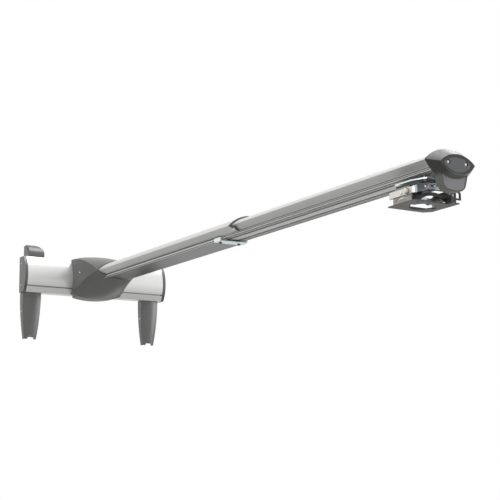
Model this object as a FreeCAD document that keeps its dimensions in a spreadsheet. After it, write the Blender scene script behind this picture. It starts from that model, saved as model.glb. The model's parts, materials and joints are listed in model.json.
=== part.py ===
import FreeCAD, Part
import math
import os
import Sketcher

# A telescoping wall arm for a short-throw projector.
# X runs along the wall rail, Y points into the wall, Z is up, all in millimetres.
# The origin is the centre of the four wall bolts, on the wall face. "Reach" is a distance out from the wall.

SIZES = [
    # clearances that several pieces share, and the run of a cut past the face that it opens
    ("seat_gap", 0.3),
    ("snap_gap", 0.2),
    ("fit_gap", 0.05),
    ("overrun", 1),
    # small screws
    ("small_head", 1.4),
    ("small_shank", 1.2),
    ("skin_lift", 0.15),
    ("pin_head", 2.6),
    # wall bolts and the hidden wall plates
    ("stud_spacing", 406.4),
    ("bolt_over_rail", 13),
    ("bolt_hole", 9),
    ("wall_plate_width", 30),
    ("bolt_margin", 18),
    ("wall_plate_thick", 5),
    ("lug_height", 18),
    ("lug_thick", 3),
    ("lug_gap", 1.2),
    # rail
    ("rail_overhang", 25.8),
    ("rail_spare_length", 10),
    ("rail_bottom", -3),
    ("rail_height", 110),
    ("rail_depth", 46),
    ("rail_bulge", 15),
    ("rail_wall", 3),
    ("groove_rise", 17),
    ("groove_width", 3.4),
    ("groove_depth", 5),
    ("web_low_inset", 8.7),
    ("web_high_inset", 5.6),
    ("end_cap_thick", 9),
    ("end_cap_proud", 1.2),
    ("cap_screw_rise", 34),
    ("rail_bolt_rise", 60),
    ("rail_bolt_radius", 3),
    ("rail_bolt_head", 5.5),
    ("rail_bolt_head_thick", 4),
    # bracket covers
    ("cover_wall", 2.5),
    ("cover_width", 60),
    ("cover_crown", 5),
    ("upper_cover_width", 53),
    ("upper_cover_shift", 6.5),
    ("upper_cover_depth", 36),
    ("upper_cover_bulge", 9),
    ("upper_cover_round", 5),
    ("upper_cover_rise", 6),
    ("upper_corner", 28),
    ("upper_core_inset", 12.7),
    ("upper_pocket_inset", 4.5),
    ("upper_cover_flat", 12.6),
    ("cover_foot_drop", 7),
    ("lower_cover_depth", 28),
    ("screw_drop", 58),
    ("cover_mid_width", 57),
    ("cover_mid_depth", 25),
    ("cover_foot_width", 39),
    ("cover_foot_depth", 18),
    ("notch_width", 21),
    ("notch_top_width", 14),
    ("notch_height", 9),
    ("cover_screw_radius", 2.4),
    ("cover_screw_reach", 11),
    ("cover_screw_lift", 0.2),
    # hub
    ("hub_width", 160),
    ("hub_bulge", 12),
    ("hub_front", 54),
    ("hub_back", 9),
    ("hook_width", 124),
    ("hook_rise", 5.4),
    ("hook_bulge", 6.6),
    ("hub_mid_reach", 128),
    ("hub_mid_width", 153),
    ("hub_mid_rise", 41),
    ("hub_mid_drop", 18),
    ("hub_mid_top", 13),
    ("hub_mid_belly", 34),
    ("hub_end_reach", 206),
    ("hub_skin", 1.6),
    ("hub_belly", 19),
    ("slide_gap", 0.4),
    ("glide_length", 96),
    ("glide_depth", 24),
    ("glide_sunk", 2.2),
    ("glide_gap", 0.1),
    ("clamp_screw_radius", 3),
    ("clamp_screw_length", 6),
    ("side_screw_reach", 100),
    ("side_screw_rise", 8),
    ("side_screw_radius", 2.6),
    ("side_screw_head", 1.5),
    # arm profile
    ("arm_height", 50.5),
    ("arm_width", 132),
    ("dome_rise", 30),
    ("side_in", 26),
    ("side_drop", 10),
    ("strip_height", 10),
    ("sleeve_wall", 3.5),
    ("sleeve_start", 75),
    ("sleeve_end", 960),
    ("lip_width", 18),
    ("lip_recess", 1.8),
    ("lip_inset", 2.6),
    ("strip_groove_height", 2.4),
    ("strip_groove_depth", 2),
    ("bottom_cover_inset", 110),
    ("end_ring_thick", 4),
    ("end_ring_proud", 0.8),
    ("arm_clearance", 0.5),
    ("ring_clearance", 0.3),
    # guide plate under the sleeve's end
    ("guide_inset", 112),
    ("guide_length", 32),
    ("guide_thick", 2),
    ("guide_wing", 8),
    ("guide_screw_offset", 6),
    ("guide_screw_inset", 9),
    ("guide_screw_radius", 4.2),
    ("guide_shank", 2.1),
    # lock screw in a boss of the end ring, on its lower left side
    ("boss_radius", 6.5),
    ("boss_proud", 3),
    ("boss_offset", 7),
    ("lock_screw_radius", 4),
    ("lock_screw_thick", 3),
    ("lock_screw_shank", 2),
    # extension
    ("extension_wall", 2.8),
    ("arm_overlap_length", 180),
    ("extension_length", 940),
    ("shoe_thick", 12),
    ("slot_centre", 15.5),
    ("slot_opening", 10),
    ("channel_width", 14),
    ("channel_height", 6.5),
    ("channel_wall", 2),
    ("rib_pitch", 3.6),
    ("rib_cut", 1.8),
    ("rib_depth", 1.4),
    ("side_rib_rise", 2),
    # head cap
    ("cap_width", 134),
    ("cap_dome", 28.5),
    ("cap_belly", 40),
    ("cap_thick", 25),
    ("eye_width", 92),
    ("eye_drop", 7),
    ("eye_dome", 19),
    ("eye_belly", 25),
    ("eye_rim", 6),
    ("panel_sunk", 2),
    ("panel_thick", 1.5),
    ("spigot_length", 20),
    ("shield_width", 80),
    ("shield_taper", 9),
    ("shield_back", 3),
    ("shield_thick", 9),
    ("shield_rear_length", 8),
    ("shield_drop", 47),
    ("shield_corner", 14),
    ("shield_bulge", 2.5),
    ("shield_rim", 3),
    ("head_screw_spacing", 47),
    ("head_screw_rise", 1),
    ("head_screw_radius", 3.2),
    ("head_screw_head", 2.2),
    ("head_shank", 1.8),
    ("head_recess_radius", 4.6),
    ("head_recess_depth", 3),
    # trolley
    ("head_inset_length", 90),
    ("trolley_gap", 7),
    ("trolley_thick", 3),
    ("trolley_width", 76),
    ("trolley_nose_width", 48),
    ("trolley_back", 42),
    ("trolley_front", 46),
    ("trolley_straight", 12),
    ("trolley_bolt_pitch", 60),
    ("post_radius", 6),
    ("trolley_bolt_radius", 3),
    ("nut_radius", 5),
    ("nut_thick", 3),
    ("bolt_head_gap", 0.4),
    ("yaw_bolt_radius", 5),
    ("bolt_tip", 1),
    # yaw bracket
    ("yaw_gap", 0.5),
    ("yaw_thick", 4),
    ("yaw_width", 84),
    ("yaw_length", 82),
    ("yaw_ear_width", 64),
    ("yaw_ear_thick", 4),
    ("yaw_ear_drop", 13),
    ("yaw_corner", 8),
    ("ear_corner", 3),
    ("yaw_head_radius", 9),
    ("yaw_head_thick", 4),
    ("yaw_nut_thick", 3.5),
    ("yaw_washer_radius", 12),
    ("arc_slot_radius", 30),
    ("arc_slot_width", 6),
    ("arc_slot_half_turn", 24),
    # roll cradle
    ("roll_drop", 5.5),
    ("roll_pin_radius", 3),
    ("roll_head_radius", 4.4),
    ("cradle_width", 114),
    ("cradle_length", 88),
    ("cradle_corner", 9),
    ("cradle_wall", 2.5),
    ("cradle_top", 6.5),
    ("cradle_height", 24.5),
    ("side_band_rise", 6.5),
    ("arch_rise", 11),
    ("arch_width", 100),
    ("band_hole_radius", 2.4),
    ("band_hole_spacing", 20),
    ("roll_lock_offset", 26),
    ("roll_lock_drop", 3),
    ("lock_slot_gap", 0.7),
    ("lock_slot_height", 10),
    ("roll_lock_radius", 2.5),
    # tilt bracket and interface plate
    ("tilt_drop", 11.5),
    ("tilt_pin_radius", 3),
    ("tilt_gap", 0.5),
    ("tilt_wall", 2.5),
    ("tilt_length", 60),
    ("tilt_top", 12),
    ("tilt_round", 12),
    ("tilt_foot", 21),
    ("tilt_window_width", 70),
    ("tilt_window_length", 50),
    ("side_slot_drop", 15),
    ("side_slot_half_length", 19),
    ("side_slot_width", 2.4),
    ("side_slot_bulge", 4),
    ("knob_offset", 20),
    ("knob_radius", 6.5),
    ("knob_thick", 7),
    ("knob_stem_radius", 2),
    ("knob_slot_gap", 1),
    ("knob_slot_height", 9),
    ("knob_neck", 3.9),
    ("knob_edge", 1.4),
    ("knob_flute", 1.45),
    ("knob_flute_circle", 7.3),
    ("plate_left", 57),
    ("plate_right", 52),
    ("plate_length", 88),
    ("plate_thick", 2.5),
    ("plate_chamfer", 14),
    ("plate_nick", 2),
    ("plate_hole_radius", 28),
    ("plate_slot_length", 70),
    ("plate_slot_width", 12),
    ("mount_spacing_x", 84),
    ("mount_spacing_y", 70),
    ("mount_hole_radius", 2.75),
    ("tab_width", 20),
    ("tab_length", 13),
    # lock frame, lever and its block
    ("frame_thick", 4),
    ("frame_width", 92),
    ("frame_reach", 35),
    ("frame_crown", 18.5),
    ("frame_band", 7),
    ("frame_foot", 6),
    ("frame_bar", 4),
    ("frame_bar_back", 10),
    ("block_width", 14),
    ("block_depth", 16),
    ("block_height", 12.5),
    ("block_inset", 8),
    ("lever_reach", 50),
    ("lever_rise", 9.5),
    ("lever_width", 17),
    ("lever_height", 19),
    ("lever_bar", 3.6),
    ("lever_round", 6),
    ("lever_pin_radius", 1.1),
    ("lever_gap", 0.6),
    ("lever_pin_proud", 0.8),
]

doc = FreeCAD.newDocument("ProjectorWallMount")
sheet = doc.addObject("Spreadsheet::Sheet", "Sizes")
for row, (alias, value) in enumerate(SIZES, start=1):
    sheet.set("A%d" % row, alias)
    sheet.set("B%d" % row, str(value))
    sheet.setAlias("B%d" % row, alias)
doc.recompute()


# shares of a screw head: its socket's radius and floor, and where its rounded edge starts
SOCKET_RADIUS = 0.45
SOCKET_FLOOR = 0.4
EDGE_HEIGHT = 0.7
EDGE_RADIUS = 0.85
# height of a quarter turn's arc over its radius
QUARTER_BULGE = (math.sqrt(2) - 1) / math.sqrt(2)
# height of a slot's round end over its half width, a little short of a half circle
SLOT_BULGE = 0.9
RIB_COUNT = 3
SIDE_RIB_COUNT = 2
FLUTE_COUNT = 8


class Size:
    """A number with its formula in the sheet, so that a sketch or a property can be bound to it."""

    def __init__(self, value, formula):
        self.value = value
        self.formula = formula

    def joined(self, sign, other, value):
        return Size(value, "(%s %s %s)" % (self.formula, sign, other.formula))

    def __add__(self, other):
        other = as_size(other)
        return self.joined("+", other, self.value + other.value)

    def __sub__(self, other):
        other = as_size(other)
        return self.joined("-", other, self.value - other.value)

    def __mul__(self, other):
        other = as_size(other)
        return self.joined("*", other, self.value * other.value)

    def __truediv__(self, other):
        other = as_size(other)
        return self.joined("/", other, self.value / other.value)

    def __radd__(self, other):
        return as_size(other) + self

    def __rsub__(self, other):
        return as_size(other) - self

    def __rmul__(self, other):
        return as_size(other) * self

    def __neg__(self):
        return Size(-self.value, "(0 - %s)" % self.formula)


def as_size(thing):
    """A plain number as a Size."""
    return thing if isinstance(thing, Size) else Size(float(thing), "%.9g" % thing)


def size(alias):
    """A driving dimension from the sheet."""
    return Size(float(sheet.get(alias)), "Sizes." + alias)


class Outline:
    """A closed outline of straight runs and arcs, with every corner bound to the sheet."""

    def __init__(self, across, up):
        self.corners = [(as_size(across), as_size(up))]
        self.bulges = []

    def to(self, across, up, bulge=None):
        """Adds a run to a corner. A bulge is the height of an arc on the left of the way there."""
        self.corners.append((as_size(across), as_size(up)))
        self.bulges.append(bulge)
        return self

    def close(self, bulge=None):
        self.bulges.append(bulge)
        return self


def fixed(sketch, kind, geometry, point, value):
    """Binds one coordinate of a point of the sketch."""
    index = sketch.addConstraint(Sketcher.Constraint(kind, -1, 1, geometry, point, value.value))
    sketch.setExpression("Constraints[%d]" % index, value.formula)


def draw(sketch, outline):
    """Draws an outline into a sketch and binds its corners and radii."""
    ends = []
    count = len(outline.corners)
    for number, bulge in enumerate(outline.bulges):
        start = outline.corners[number]
        stop = outline.corners[(number + 1) % count]
        first = FreeCAD.Vector(start[0].value, start[1].value, 0)
        last = FreeCAD.Vector(stop[0].value, stop[1].value, 0)
        if bulge is None:
            geometry = sketch.addGeometry(Part.LineSegment(first, last), False)
            ends.append((geometry, 1, 2))
            continue
        bulge = as_size(bulge)
        way = last - first
        left = FreeCAD.Vector(-way.y, way.x, 0).normalize()
        top = (first + last) * 0.5 + left * bulge.value
        geometry = sketch.addGeometry(Part.Arc(first, top, last), False)
        ends.append((geometry, 2, 1) if bulge.value > 0 else (geometry, 1, 2))
        across = stop[0] - start[0]
        up = stop[1] - start[1]
        height = bulge if bulge.value > 0 else -bulge
        radius = (across * across + up * up) / (height * 8) + height / 2
        index = sketch.addConstraint(Sketcher.Constraint("Radius", geometry, radius.value))
        sketch.setExpression("Constraints[%d]" % index, radius.formula)
    for number in range(count):
        here = ends[number]
        after = ends[(number + 1) % count]
        sketch.addConstraint(Sketcher.Constraint("Coincident", here[0], here[2], after[0], after[1]))
    for number, (across, up) in enumerate(outline.corners):
        geometry, point, _ = ends[number]
        fixed(sketch, "DistanceX", geometry, point, across)
        fixed(sketch, "DistanceY", geometry, point, up)


def draw_hole(sketch, across, up, radius):
    """Draws a round hole into a sketch."""
    across = as_size(across)
    up = as_size(up)
    centre = FreeCAD.Vector(across.value, up.value, 0)
    circle = sketch.addGeometry(Part.Circle(centre, FreeCAD.Vector(0, 0, 1), radius.value), False)
    fixed(sketch, "DistanceX", circle, 3, across)
    fixed(sketch, "DistanceY", circle, 3, up)
    index = sketch.addConstraint(Sketcher.Constraint("Radius", circle, radius.value))
    sketch.setExpression("Constraints[%d]" % index, radius.formula)


def new_body(label):
    body = doc.addObject("PartDesign::Body", label)
    body.Label = label
    return body


def new_sketch(body, plane, start, outlines, holes=()):
    """A sketch on one of the body's own planes, moved along its normal to start.

    On "XZ" the normal points out from the wall, so start is a reach. On "YZ" across is Y and up is Z.
    """
    sketch = body.newObject("Sketcher::SketchObject", body.Name + "_sketch")
    support = [item for item in body.Origin.OriginFeatures if item.Role == plane + "_Plane"][0]
    sketch.AttachmentSupport = [(support, "")]
    sketch.MapMode = "FlatFace"
    sketch.setExpression("AttachmentOffset.Base.z", as_size(start).formula)
    for outline in outlines:
        draw(sketch, outline)
    for hole in holes:
        draw_hole(sketch, *hole)
    return sketch


def pad(body, plane, start, length, outlines, holes=()):
    """Pads outlines along the plane's normal, from start."""
    feature = body.newObject("PartDesign::Pad", body.Name + "_pad")
    feature.Profile = new_sketch(body, plane, start, outlines, holes)
    feature.setExpression("Length", as_size(length).formula)
    return feature


def cut(body, plane, start, length, outlines, holes=()):
    """Cuts outlines along the plane's normal, from start, and checks that something was cut."""
    doc.recompute()
    before = body.Shape.Volume
    feature = body.newObject("PartDesign::Pocket", body.Name + "_pocket")
    feature.Profile = new_sketch(body, plane, start, outlines, holes)
    feature.setExpression("Length", as_size(length).formula)
    feature.Reversed = True
    doc.recompute()
    if body.Shape.Volume >= before:
        raise RuntimeError("a pocket of %s cuts nothing" % body.Label)
    return feature


def plate(label, plane, start, length, outlines, holes=()):
    """A body that is one pad."""
    body = new_body(label)
    pad(body, plane, start, length, outlines, holes)
    return body


def rectangle(left, low, right, high):
    return Outline(left, low).to(right, low).to(right, high).to(left, high).close()


def lens(half, height, dome, belly):
    """An eye shape: two corners joined by a dome above and a belly below."""
    return Outline(-half, height).to(half, height, dome).close(belly)


def upright_slot(across, up, half_width, half_height):
    """A slot with rounded ends, about a centre."""
    straight = half_height - half_width
    rounding = half_width * SLOT_BULGE
    slot = Outline(across - half_width, up - straight).to(across - half_width, up + straight)
    slot.to(across + half_width, up + straight, rounding).to(across + half_width, up - straight)
    return slot.close(rounding)


def barrel(half, low, high, dome, belly):
    """Two upright sides joined by a dome above and a belly below."""
    return Outline(-half, low).to(-half, high).to(half, high, dome).to(half, low).close(belly)


def loft(body, kind, sketches):
    feature = body.newObject("PartDesign::" + kind, body.Name + "_loft")
    feature.Profile = sketches[0]
    feature.Sections = sketches[1:]
    return feature


def extrusion(name, source, direction, start, length):
    """Extrudes a flat shape along a direction, from start."""
    feature = doc.addObject("Part::Extrusion", name)
    feature.Base = source
    feature.DirMode = "Custom"
    feature.Dir = direction
    feature.Solid = True
    feature.setExpression("LengthFwd", as_size(length).formula)
    for axis, part in zip("xyz", direction):
        if part:
            feature.setExpression("Placement.Base." + axis, (as_size(start) * part).formula)
    return feature


def offset(name, source, distance):
    """The outline of a sketch moved outwards by a distance, with sharp corners there, or inwards."""
    feature = doc.addObject("Part::Offset2D", name)
    feature.Source = source
    feature.Join = 2 if as_size(distance).value > 0 else 0
    feature.Value = as_size(distance).value
    feature.setExpression("Value", as_size(distance).formula)
    return feature


def box(name, low, high):
    """A box between two corners of Sizes."""
    feature = doc.addObject("Part::Box", name)
    for side, axis, start, stop in zip(("Length", "Width", "Height"), "xyz", low, high):
        feature.setExpression(side, (as_size(stop) - start).formula)
        feature.setExpression("Placement.Base." + axis, as_size(start).formula)
    return feature


def rod(name, axis, base, radius, length):
    """A round rod along X, Y or Z from a base point of Sizes."""
    feature = doc.addObject("Part::Cylinder", name)
    feature.setExpression("Radius", as_size(radius).formula)
    feature.setExpression("Height", as_size(length).formula)
    directions = {"x": FreeCAD.Vector(1, 0, 0), "y": FreeCAD.Vector(0, 1, 0), "z": FreeCAD.Vector(0, 0, 1)}
    turn = FreeCAD.Rotation(FreeCAD.Vector(0, 0, 1), directions[axis])
    feature.Placement = FreeCAD.Placement(FreeCAD.Vector(0, 0, 0), turn)
    for letter, distance in zip("xyz", base):
        feature.setExpression("Placement.Base." + letter, as_size(distance).formula)
    return feature


def less(label, base, tools):
    """A base with tools cut away."""
    tool = tools[0]
    if len(tools) > 1:
        tool = doc.addObject("Part::MultiFuse", label + "_tools")
        tool.Shapes = tools
    feature = doc.addObject("Part::Cut", label)
    feature.Label = label
    feature.Base = base
    feature.Tool = tool
    return feature


def place(thing, axis, distance):
    """Moves an object along an axis by a bound distance."""
    thing.setExpression("Placement.Base." + axis, as_size(distance).formula)
    return thing


def turned(points, base, direction):
    """A solid of revolution: points are (radius, distance along direction) pairs, from axis to axis."""
    corners = [FreeCAD.Vector(radius, 0, along) for radius, along in points]
    face = Part.Face(Part.makePolygon(corners + [corners[0]]))
    solid = face.revolve(FreeCAD.Vector(0, 0, 0), FreeCAD.Vector(0, 0, 1), 360)
    turn = FreeCAD.Rotation(FreeCAD.Vector(0, 0, 1), direction)
    solid.Placement = FreeCAD.Placement(base, turn)
    return solid


def group(label, shapes):
    """Like fasteners that share one node."""
    feature = doc.addObject("Part::Feature", label)
    feature.Label = label
    feature.Shape = Part.makeCompound(shapes) if len(shapes) > 1 else shapes[0]
    return feature


def socket_screw(head_radius, head_thick, shank_radius, shank_length, base, direction):
    """A screw with a socket in its head, seated at base and pointing outwards."""
    head_radius, head_thick, shank_radius, shank_length = [
        as_size(given).value for given in (head_radius, head_thick, shank_radius, shank_length)]
    hollow = head_radius * SOCKET_RADIUS
    floor = head_thick * SOCKET_FLOOR
    profile = [(0, -shank_length), (shank_radius, -shank_length), (shank_radius, 0), (head_radius, 0)]
    profile += [(head_radius, head_thick * EDGE_HEIGHT), (head_radius * EDGE_RADIUS, head_thick)]
    profile.append((hollow, head_thick))
    profile += [(hollow, floor), (0, floor)]
    return turned(profile, base, direction)


def point(across, along, up):
    """A point in space from Sizes."""
    return FreeCAD.Vector(as_size(across).value, as_size(along).value, as_size(up).value)


def hexagon(centre, radius, thick, direction, bore):
    """A six-sided nut with a round bore."""
    angles = [math.radians(60 * turn) for turn in range(7)]
    corners = [centre + FreeCAD.Vector(math.cos(angle), math.sin(angle), 0) * radius for angle in angles]
    nut = Part.Face(Part.makePolygon(corners)).extrude(direction * thick)
    return nut.cut(Part.makeCylinder(bore, thick, centre, direction))


OUT = FreeCAD.Vector(0, -1, 0)
UP = FreeCAD.Vector(0, 0, 1)
DOWN = FreeCAD.Vector(0, 0, -1)
LEFT = FreeCAD.Vector(-1, 0, 0)
RIGHT = FreeCAD.Vector(1, 0, 0)
SIDES = (("left", -1), ("right", 1))

half_stud = size("stud_spacing") / 2
rail_back = size("wall_plate_thick")
rail_low = size("rail_bottom")
rail_high = rail_low + size("rail_height")
rail_apex = rail_back + size("rail_depth")
rail_shoulder = rail_apex - size("rail_bulge")
rail_middle = rail_low + size("rail_height") / 2
rail_left = half_stud + size("rail_overhang")
rail_right = rail_left + size("rail_spare_length")
rail_length = rail_left + rail_right
seat = size("seat_gap")
snap = size("snap_gap")
fit = size("fit_gap")
over = size("overrun")
small_head = size("small_head")
small_shank = size("small_shank")
small_hole = small_shank + fit
skin_lift = size("skin_lift")


# Wall plates: steel strips with the wall bolt holes, and a lug that the lower cover is screwed to.
screw_height = rail_low - size("screw_drop")
lug_outer = size("cover_mid_width") / 2 - size("cover_wall") - size("lug_gap")
lug_low = screw_height - size("lug_height") / 2
lug_high = screw_height + size("lug_height") / 2
cover_screw_spot = (-size("cover_screw_reach"), screw_height, small_hole)
half_wall_plate = size("wall_plate_width") / 2
half_rise = rail_high + size("bolt_over_rail")
half_tall = half_rise + size("bolt_margin")
rail_bolt_hole = size("rail_bolt_radius") + seat
for side, sign in SIDES:
    holes = [(0, half_rise * way, size("bolt_hole") / 2) for way in (-1, 1)]
    holes += [(0, rail_middle + size("rail_bolt_rise") / 2 * way, rail_bolt_hole) for way in (-1, 1)]
    strip = rectangle(-half_wall_plate, -half_tall, half_wall_plate, half_tall)
    wall_plate = plate("wall_plate_" + side, "XZ", 0, size("wall_plate_thick"), [strip], holes)
    foot = rectangle(-lug_outer, lug_low, over - half_wall_plate, lug_high)
    pad(wall_plate, "XZ", 0, size("wall_plate_thick"), [foot])
    lug = rectangle(-lug_outer, lug_low, size("lug_thick") - lug_outer, lug_high)
    pad(wall_plate, "XZ", 0, size("cover_screw_reach") + size("lug_height") / 4, [lug])
    cut(wall_plate, "YZ", -lug_outer - over, size("lug_thick") + over * 2, [], [cover_screw_spot])
    place(wall_plate, "x", half_stud * sign)


# Rail: a hollow extrusion with a bulging front and a shadow groove above its lower lip.
def rail_outline(inset):
    """The rail's section in Y and Z, moved inwards by inset."""
    back = -(rail_back + inset)
    shoulder = -(rail_shoulder - inset * QUARTER_BULGE)
    low = rail_low + inset
    high = rail_high - inset
    outline = Outline(back, low).to(back, high).to(shoulder, high)
    return outline.to(shoulder, low, inset * (1 - QUARTER_BULGE) - size("rail_bulge")).close()


rail_body = new_body("rail")
rail_section = new_sketch(rail_body, "YZ", -rail_left, [rail_outline(as_size(0))])
rail_pad = rail_body.newObject("PartDesign::Pad", "rail_pad")
rail_pad.Profile = rail_section
rail_pad.setExpression("Length", rail_length.formula)
cut(rail_body, "YZ", -rail_left, rail_length, [rail_outline(size("rail_wall"))])
groove_height = rail_low + size("groove_rise")
groove_floor = rail_apex - size("rail_bulge") / 2
web_back = groove_floor - size("groove_depth") - size("rail_wall")
web_low = groove_height - size("rail_wall")
web_high = groove_height + size("groove_width") + size("rail_wall")
groove_web = Outline(size("web_low_inset") - rail_apex, web_low).to(-web_back, web_low)
groove_web.to(-web_back, web_high).to(size("web_high_inset") - rail_apex, web_high).close()
pad(rail_body, "YZ", -rail_left, rail_length, [groove_web])
groove = rectangle(-rail_apex - over, groove_height, -groove_floor + size("groove_depth"),
                   groove_height + size("groove_width"))
cut(rail_body, "YZ", -rail_left, rail_length, [groove])
bolt_rows = [rail_middle + size("rail_bolt_rise") / 2 * way for way in (-1, 1)]
holes = [(half_stud * sign, height, rail_bolt_hole) for _, sign in SIDES for height in bolt_rows]
cut(rail_body, "XZ", rail_back - over, size("rail_wall") + over * 2, [], holes)

bolts = []
for _, sign in SIDES:
    for height in bolt_rows:
        seat_reach = rail_back + size("rail_wall")
        foot = point(half_stud * sign, -seat_reach, height)
        bolts.append(socket_screw(size("rail_bolt_head"), size("rail_bolt_head_thick"),
                                  size("rail_bolt_radius"), seat_reach - seat, foot, OUT))
group("rail_bolts", bolts)


# End caps: dark plates over the rail's ends, slightly proud of it, each with two screws.
cap_screw_radius = size("cover_screw_radius")
cap_screws = []
for side, sign in SIDES:
    proud = size("end_cap_proud")
    outline = Outline(proud - rail_back, rail_low).to(proud - rail_back, rail_high)
    outline.to(-rail_shoulder, rail_high).to(-rail_shoulder, rail_low, -(size("rail_bulge") + proud)).close()
    rail_end = rail_right if sign > 0 else rail_left
    start = rail_end if sign > 0 else -rail_end - size("end_cap_thick")
    cap_hole_reach = (rail_back + rail_shoulder) / 2
    levels = [rail_middle + size("cap_screw_rise") * way for way in (-1, 1)]
    holes = [(-cap_hole_reach, level, small_hole) for level in levels]
    plate("end_cap_" + side, "YZ", start, size("end_cap_thick"), [outline], holes)
    for level in levels:
        base = point((rail_end + size("end_cap_thick")) * sign, -cap_hole_reach, level)
        cap_screws.append(socket_screw(cap_screw_radius, small_head, small_shank,
                                       size("end_cap_thick") - seat, base, RIGHT * sign))
group("end_cap_screws", cap_screws)


# Upper covers: shells whose front rolls back to the wall above the rail, with a large round towards the hub.
half_cover = size("upper_cover_width") / 2
cover_wall = size("cover_wall")
upper_low = rail_high + seat
inner_high = half_tall + seat
upper_high = inner_high + cover_wall + size("upper_cover_rise")
for side, sign in SIDES:
    cover = new_body("upper_cover_" + side)
    depth = size("upper_cover_depth")
    shoulder = size("upper_cover_flat")
    outer = Outline(0, upper_low).to(0, upper_high).to(-shoulder, upper_high)
    outer.to(-depth, upper_low, -size("upper_cover_bulge")).close()
    upper_pad = pad(cover, "YZ", -half_cover, size("upper_cover_width"), [outer])
    doc.recompute()
    front_edges = []
    for number, edge in enumerate(upper_pad.Shape.Edges, start=1):
        middle = edge.CenterOfMass
        at_side = abs(middle.x - half_cover.value * sign) < skin_lift.value
        on_front = middle.y < -over.value and middle.z > (upper_low + over).value
        if at_side and on_front:
            front_edges.append("Edge%d" % number)
    rounds = cover.newObject("PartDesign::Fillet", cover.Name + "_rounds")
    rounds.Base = (upper_pad, front_edges)
    rounds.setExpression("Radius", size("upper_cover_round").formula)
    corner = size("upper_corner")
    round_high = upper_high + over
    round_edge = (half_cover + over) * -sign
    waste = Outline(round_edge, upper_high - corner).to(half_cover * -sign, upper_high - corner)
    waste.to((half_cover - corner) * -sign, upper_high, corner * QUARTER_BULGE * sign)
    waste.to((half_cover - corner) * -sign, round_high).to(round_edge, round_high).close()
    cut(cover, "XZ", -over, depth + over * 2, [waste])
    inner = Outline(over, upper_low - over).to(over, inner_high).to(-shoulder, inner_high)
    inner.to(cover_wall - depth, upper_low - over, -size("upper_cover_bulge")).close()
    far_side = cover_wall - half_cover
    near_side = half_cover - size("upper_core_inset")
    pocket_side = half_cover - size("upper_pocket_inset")
    core_start, pocket_start = (far_side, near_side - over) if sign < 0 else (-near_side, -pocket_side)
    cut(cover, "YZ", core_start, near_side - far_side, [inner])
    pocket = rectangle(-shoulder, upper_low - over, over, upper_high - corner)
    cut(cover, "YZ", pocket_start, pocket_side - near_side + over, [pocket])
    place(cover, "x", (half_stud - size("upper_cover_shift")) * sign)


# Lower covers: tapering crowned shells, open towards the wall, with a notch between two feet.
def cover_section(body, height, width, depth, inset, back):
    """A crowned section in X and Y at a height."""
    half = width / 2 - inset
    front = -(depth - size("cover_crown") - inset)
    outline = Outline(-half, back).to(-half, front).to(half, front, -size("cover_crown")).to(half, back)
    return new_sketch(body, "XY", height, [outline.close()])


lower_high = rail_low - seat
lower_foot = -(half_tall + size("cover_foot_drop"))
stations = [(lower_high, size("cover_width"), size("lower_cover_depth")),
            (screw_height, size("cover_mid_width"), size("cover_mid_depth")),
            (lower_foot, size("cover_foot_width"), size("cover_foot_depth"))]
cover_screws = []
for side, sign in SIDES:
    cover = new_body("lower_cover_" + side)
    skin = [cover_section(cover, *station, as_size(0), as_size(0)) for station in stations]
    loft(cover, "AdditiveLoft", skin)
    hollow = [cover_section(cover, *station, cover_wall, over) for station in stations]
    loft(cover, "SubtractiveLoft", hollow)
    half_notch = size("notch_width") / 2
    half_top = size("notch_top_width") / 2
    notch_high = lower_foot + size("notch_height")
    notch = Outline(-half_notch, lower_foot - over).to(half_notch, lower_foot - over)
    notch.to(half_top, notch_high).to(-half_top, notch_high).close()
    cut(cover, "XZ", -over, size("lower_cover_depth") + over * 2, [notch])
    half_mid = size("cover_mid_width") / 2
    cut(cover, "YZ", -half_mid - over, cover_wall + over * 2, [], [cover_screw_spot])
    place(cover, "x", half_stud * sign)
    lift = size("cover_screw_lift")
    base = point(half_stud * sign - half_mid - lift, -size("cover_screw_reach"), screw_height)
    shank_length = cover_wall + size("lug_gap") + size("lug_thick") + lift
    cover_screws.append(socket_screw(cap_screw_radius, small_head, small_shank, shank_length, base, LEFT))
group("cover_screws", cover_screws)


# Arm profile: the eye-shaped section that the sleeve, the extension and the hub's opening share.
arm_level = size("arm_height")
sleeve_end = size("sleeve_end")
half_arm = size("arm_width") / 2
strip_half = half_arm - size("side_in")
strip_high = arm_level - size("side_drop")
strip_low = strip_high - size("strip_height")
arm_outline = Outline(-half_arm, arm_level).to(half_arm, arm_level, size("dome_rise"))
arm_outline.to(strip_half, strip_high).to(strip_half, strip_low).to(-strip_half, strip_low)
arm_outline.to(-strip_half, strip_high).close()
profile_body = new_body("arm_profile_carrier")
arm_profile = new_sketch(profile_body, "XZ", 0, [arm_outline])


# Hub: a casting that grows from a barrel round the rail to the arm's eye shape.
hub_half = size("hub_width") / 2
hub_core = new_body("hub_core")
rail_section_outline = barrel(hub_half, rail_low, rail_high, size("hub_bulge"), size("hub_bulge"))
middle_half = size("hub_mid_width") / 2
middle_outline = barrel(middle_half, arm_level - size("hub_mid_drop"), arm_level + size("hub_mid_rise"),
                        size("hub_mid_top"), size("hub_mid_belly"))
end_half = half_arm + size("hub_skin") * 2
end_outline = barrel(end_half, arm_level - size("hub_skin") / 2, arm_level + size("hub_skin") / 2,
                     size("dome_rise") + size("hub_skin"), size("hub_belly") + size("hub_skin"))
loft(hub_core, "AdditiveLoft", [
    new_sketch(hub_core, "XZ", size("hub_front"), [rail_section_outline]),
    new_sketch(hub_core, "XZ", size("hub_mid_reach"), [middle_outline]),
    new_sketch(hub_core, "XZ", size("hub_end_reach"), [end_outline])])
half_hook = size("hook_width") / 2
hook_rise = size("hook_rise")
hook = barrel(half_hook, rail_low - hook_rise, rail_high + hook_rise, size("hook_bulge"), size("hook_bulge"))
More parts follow.
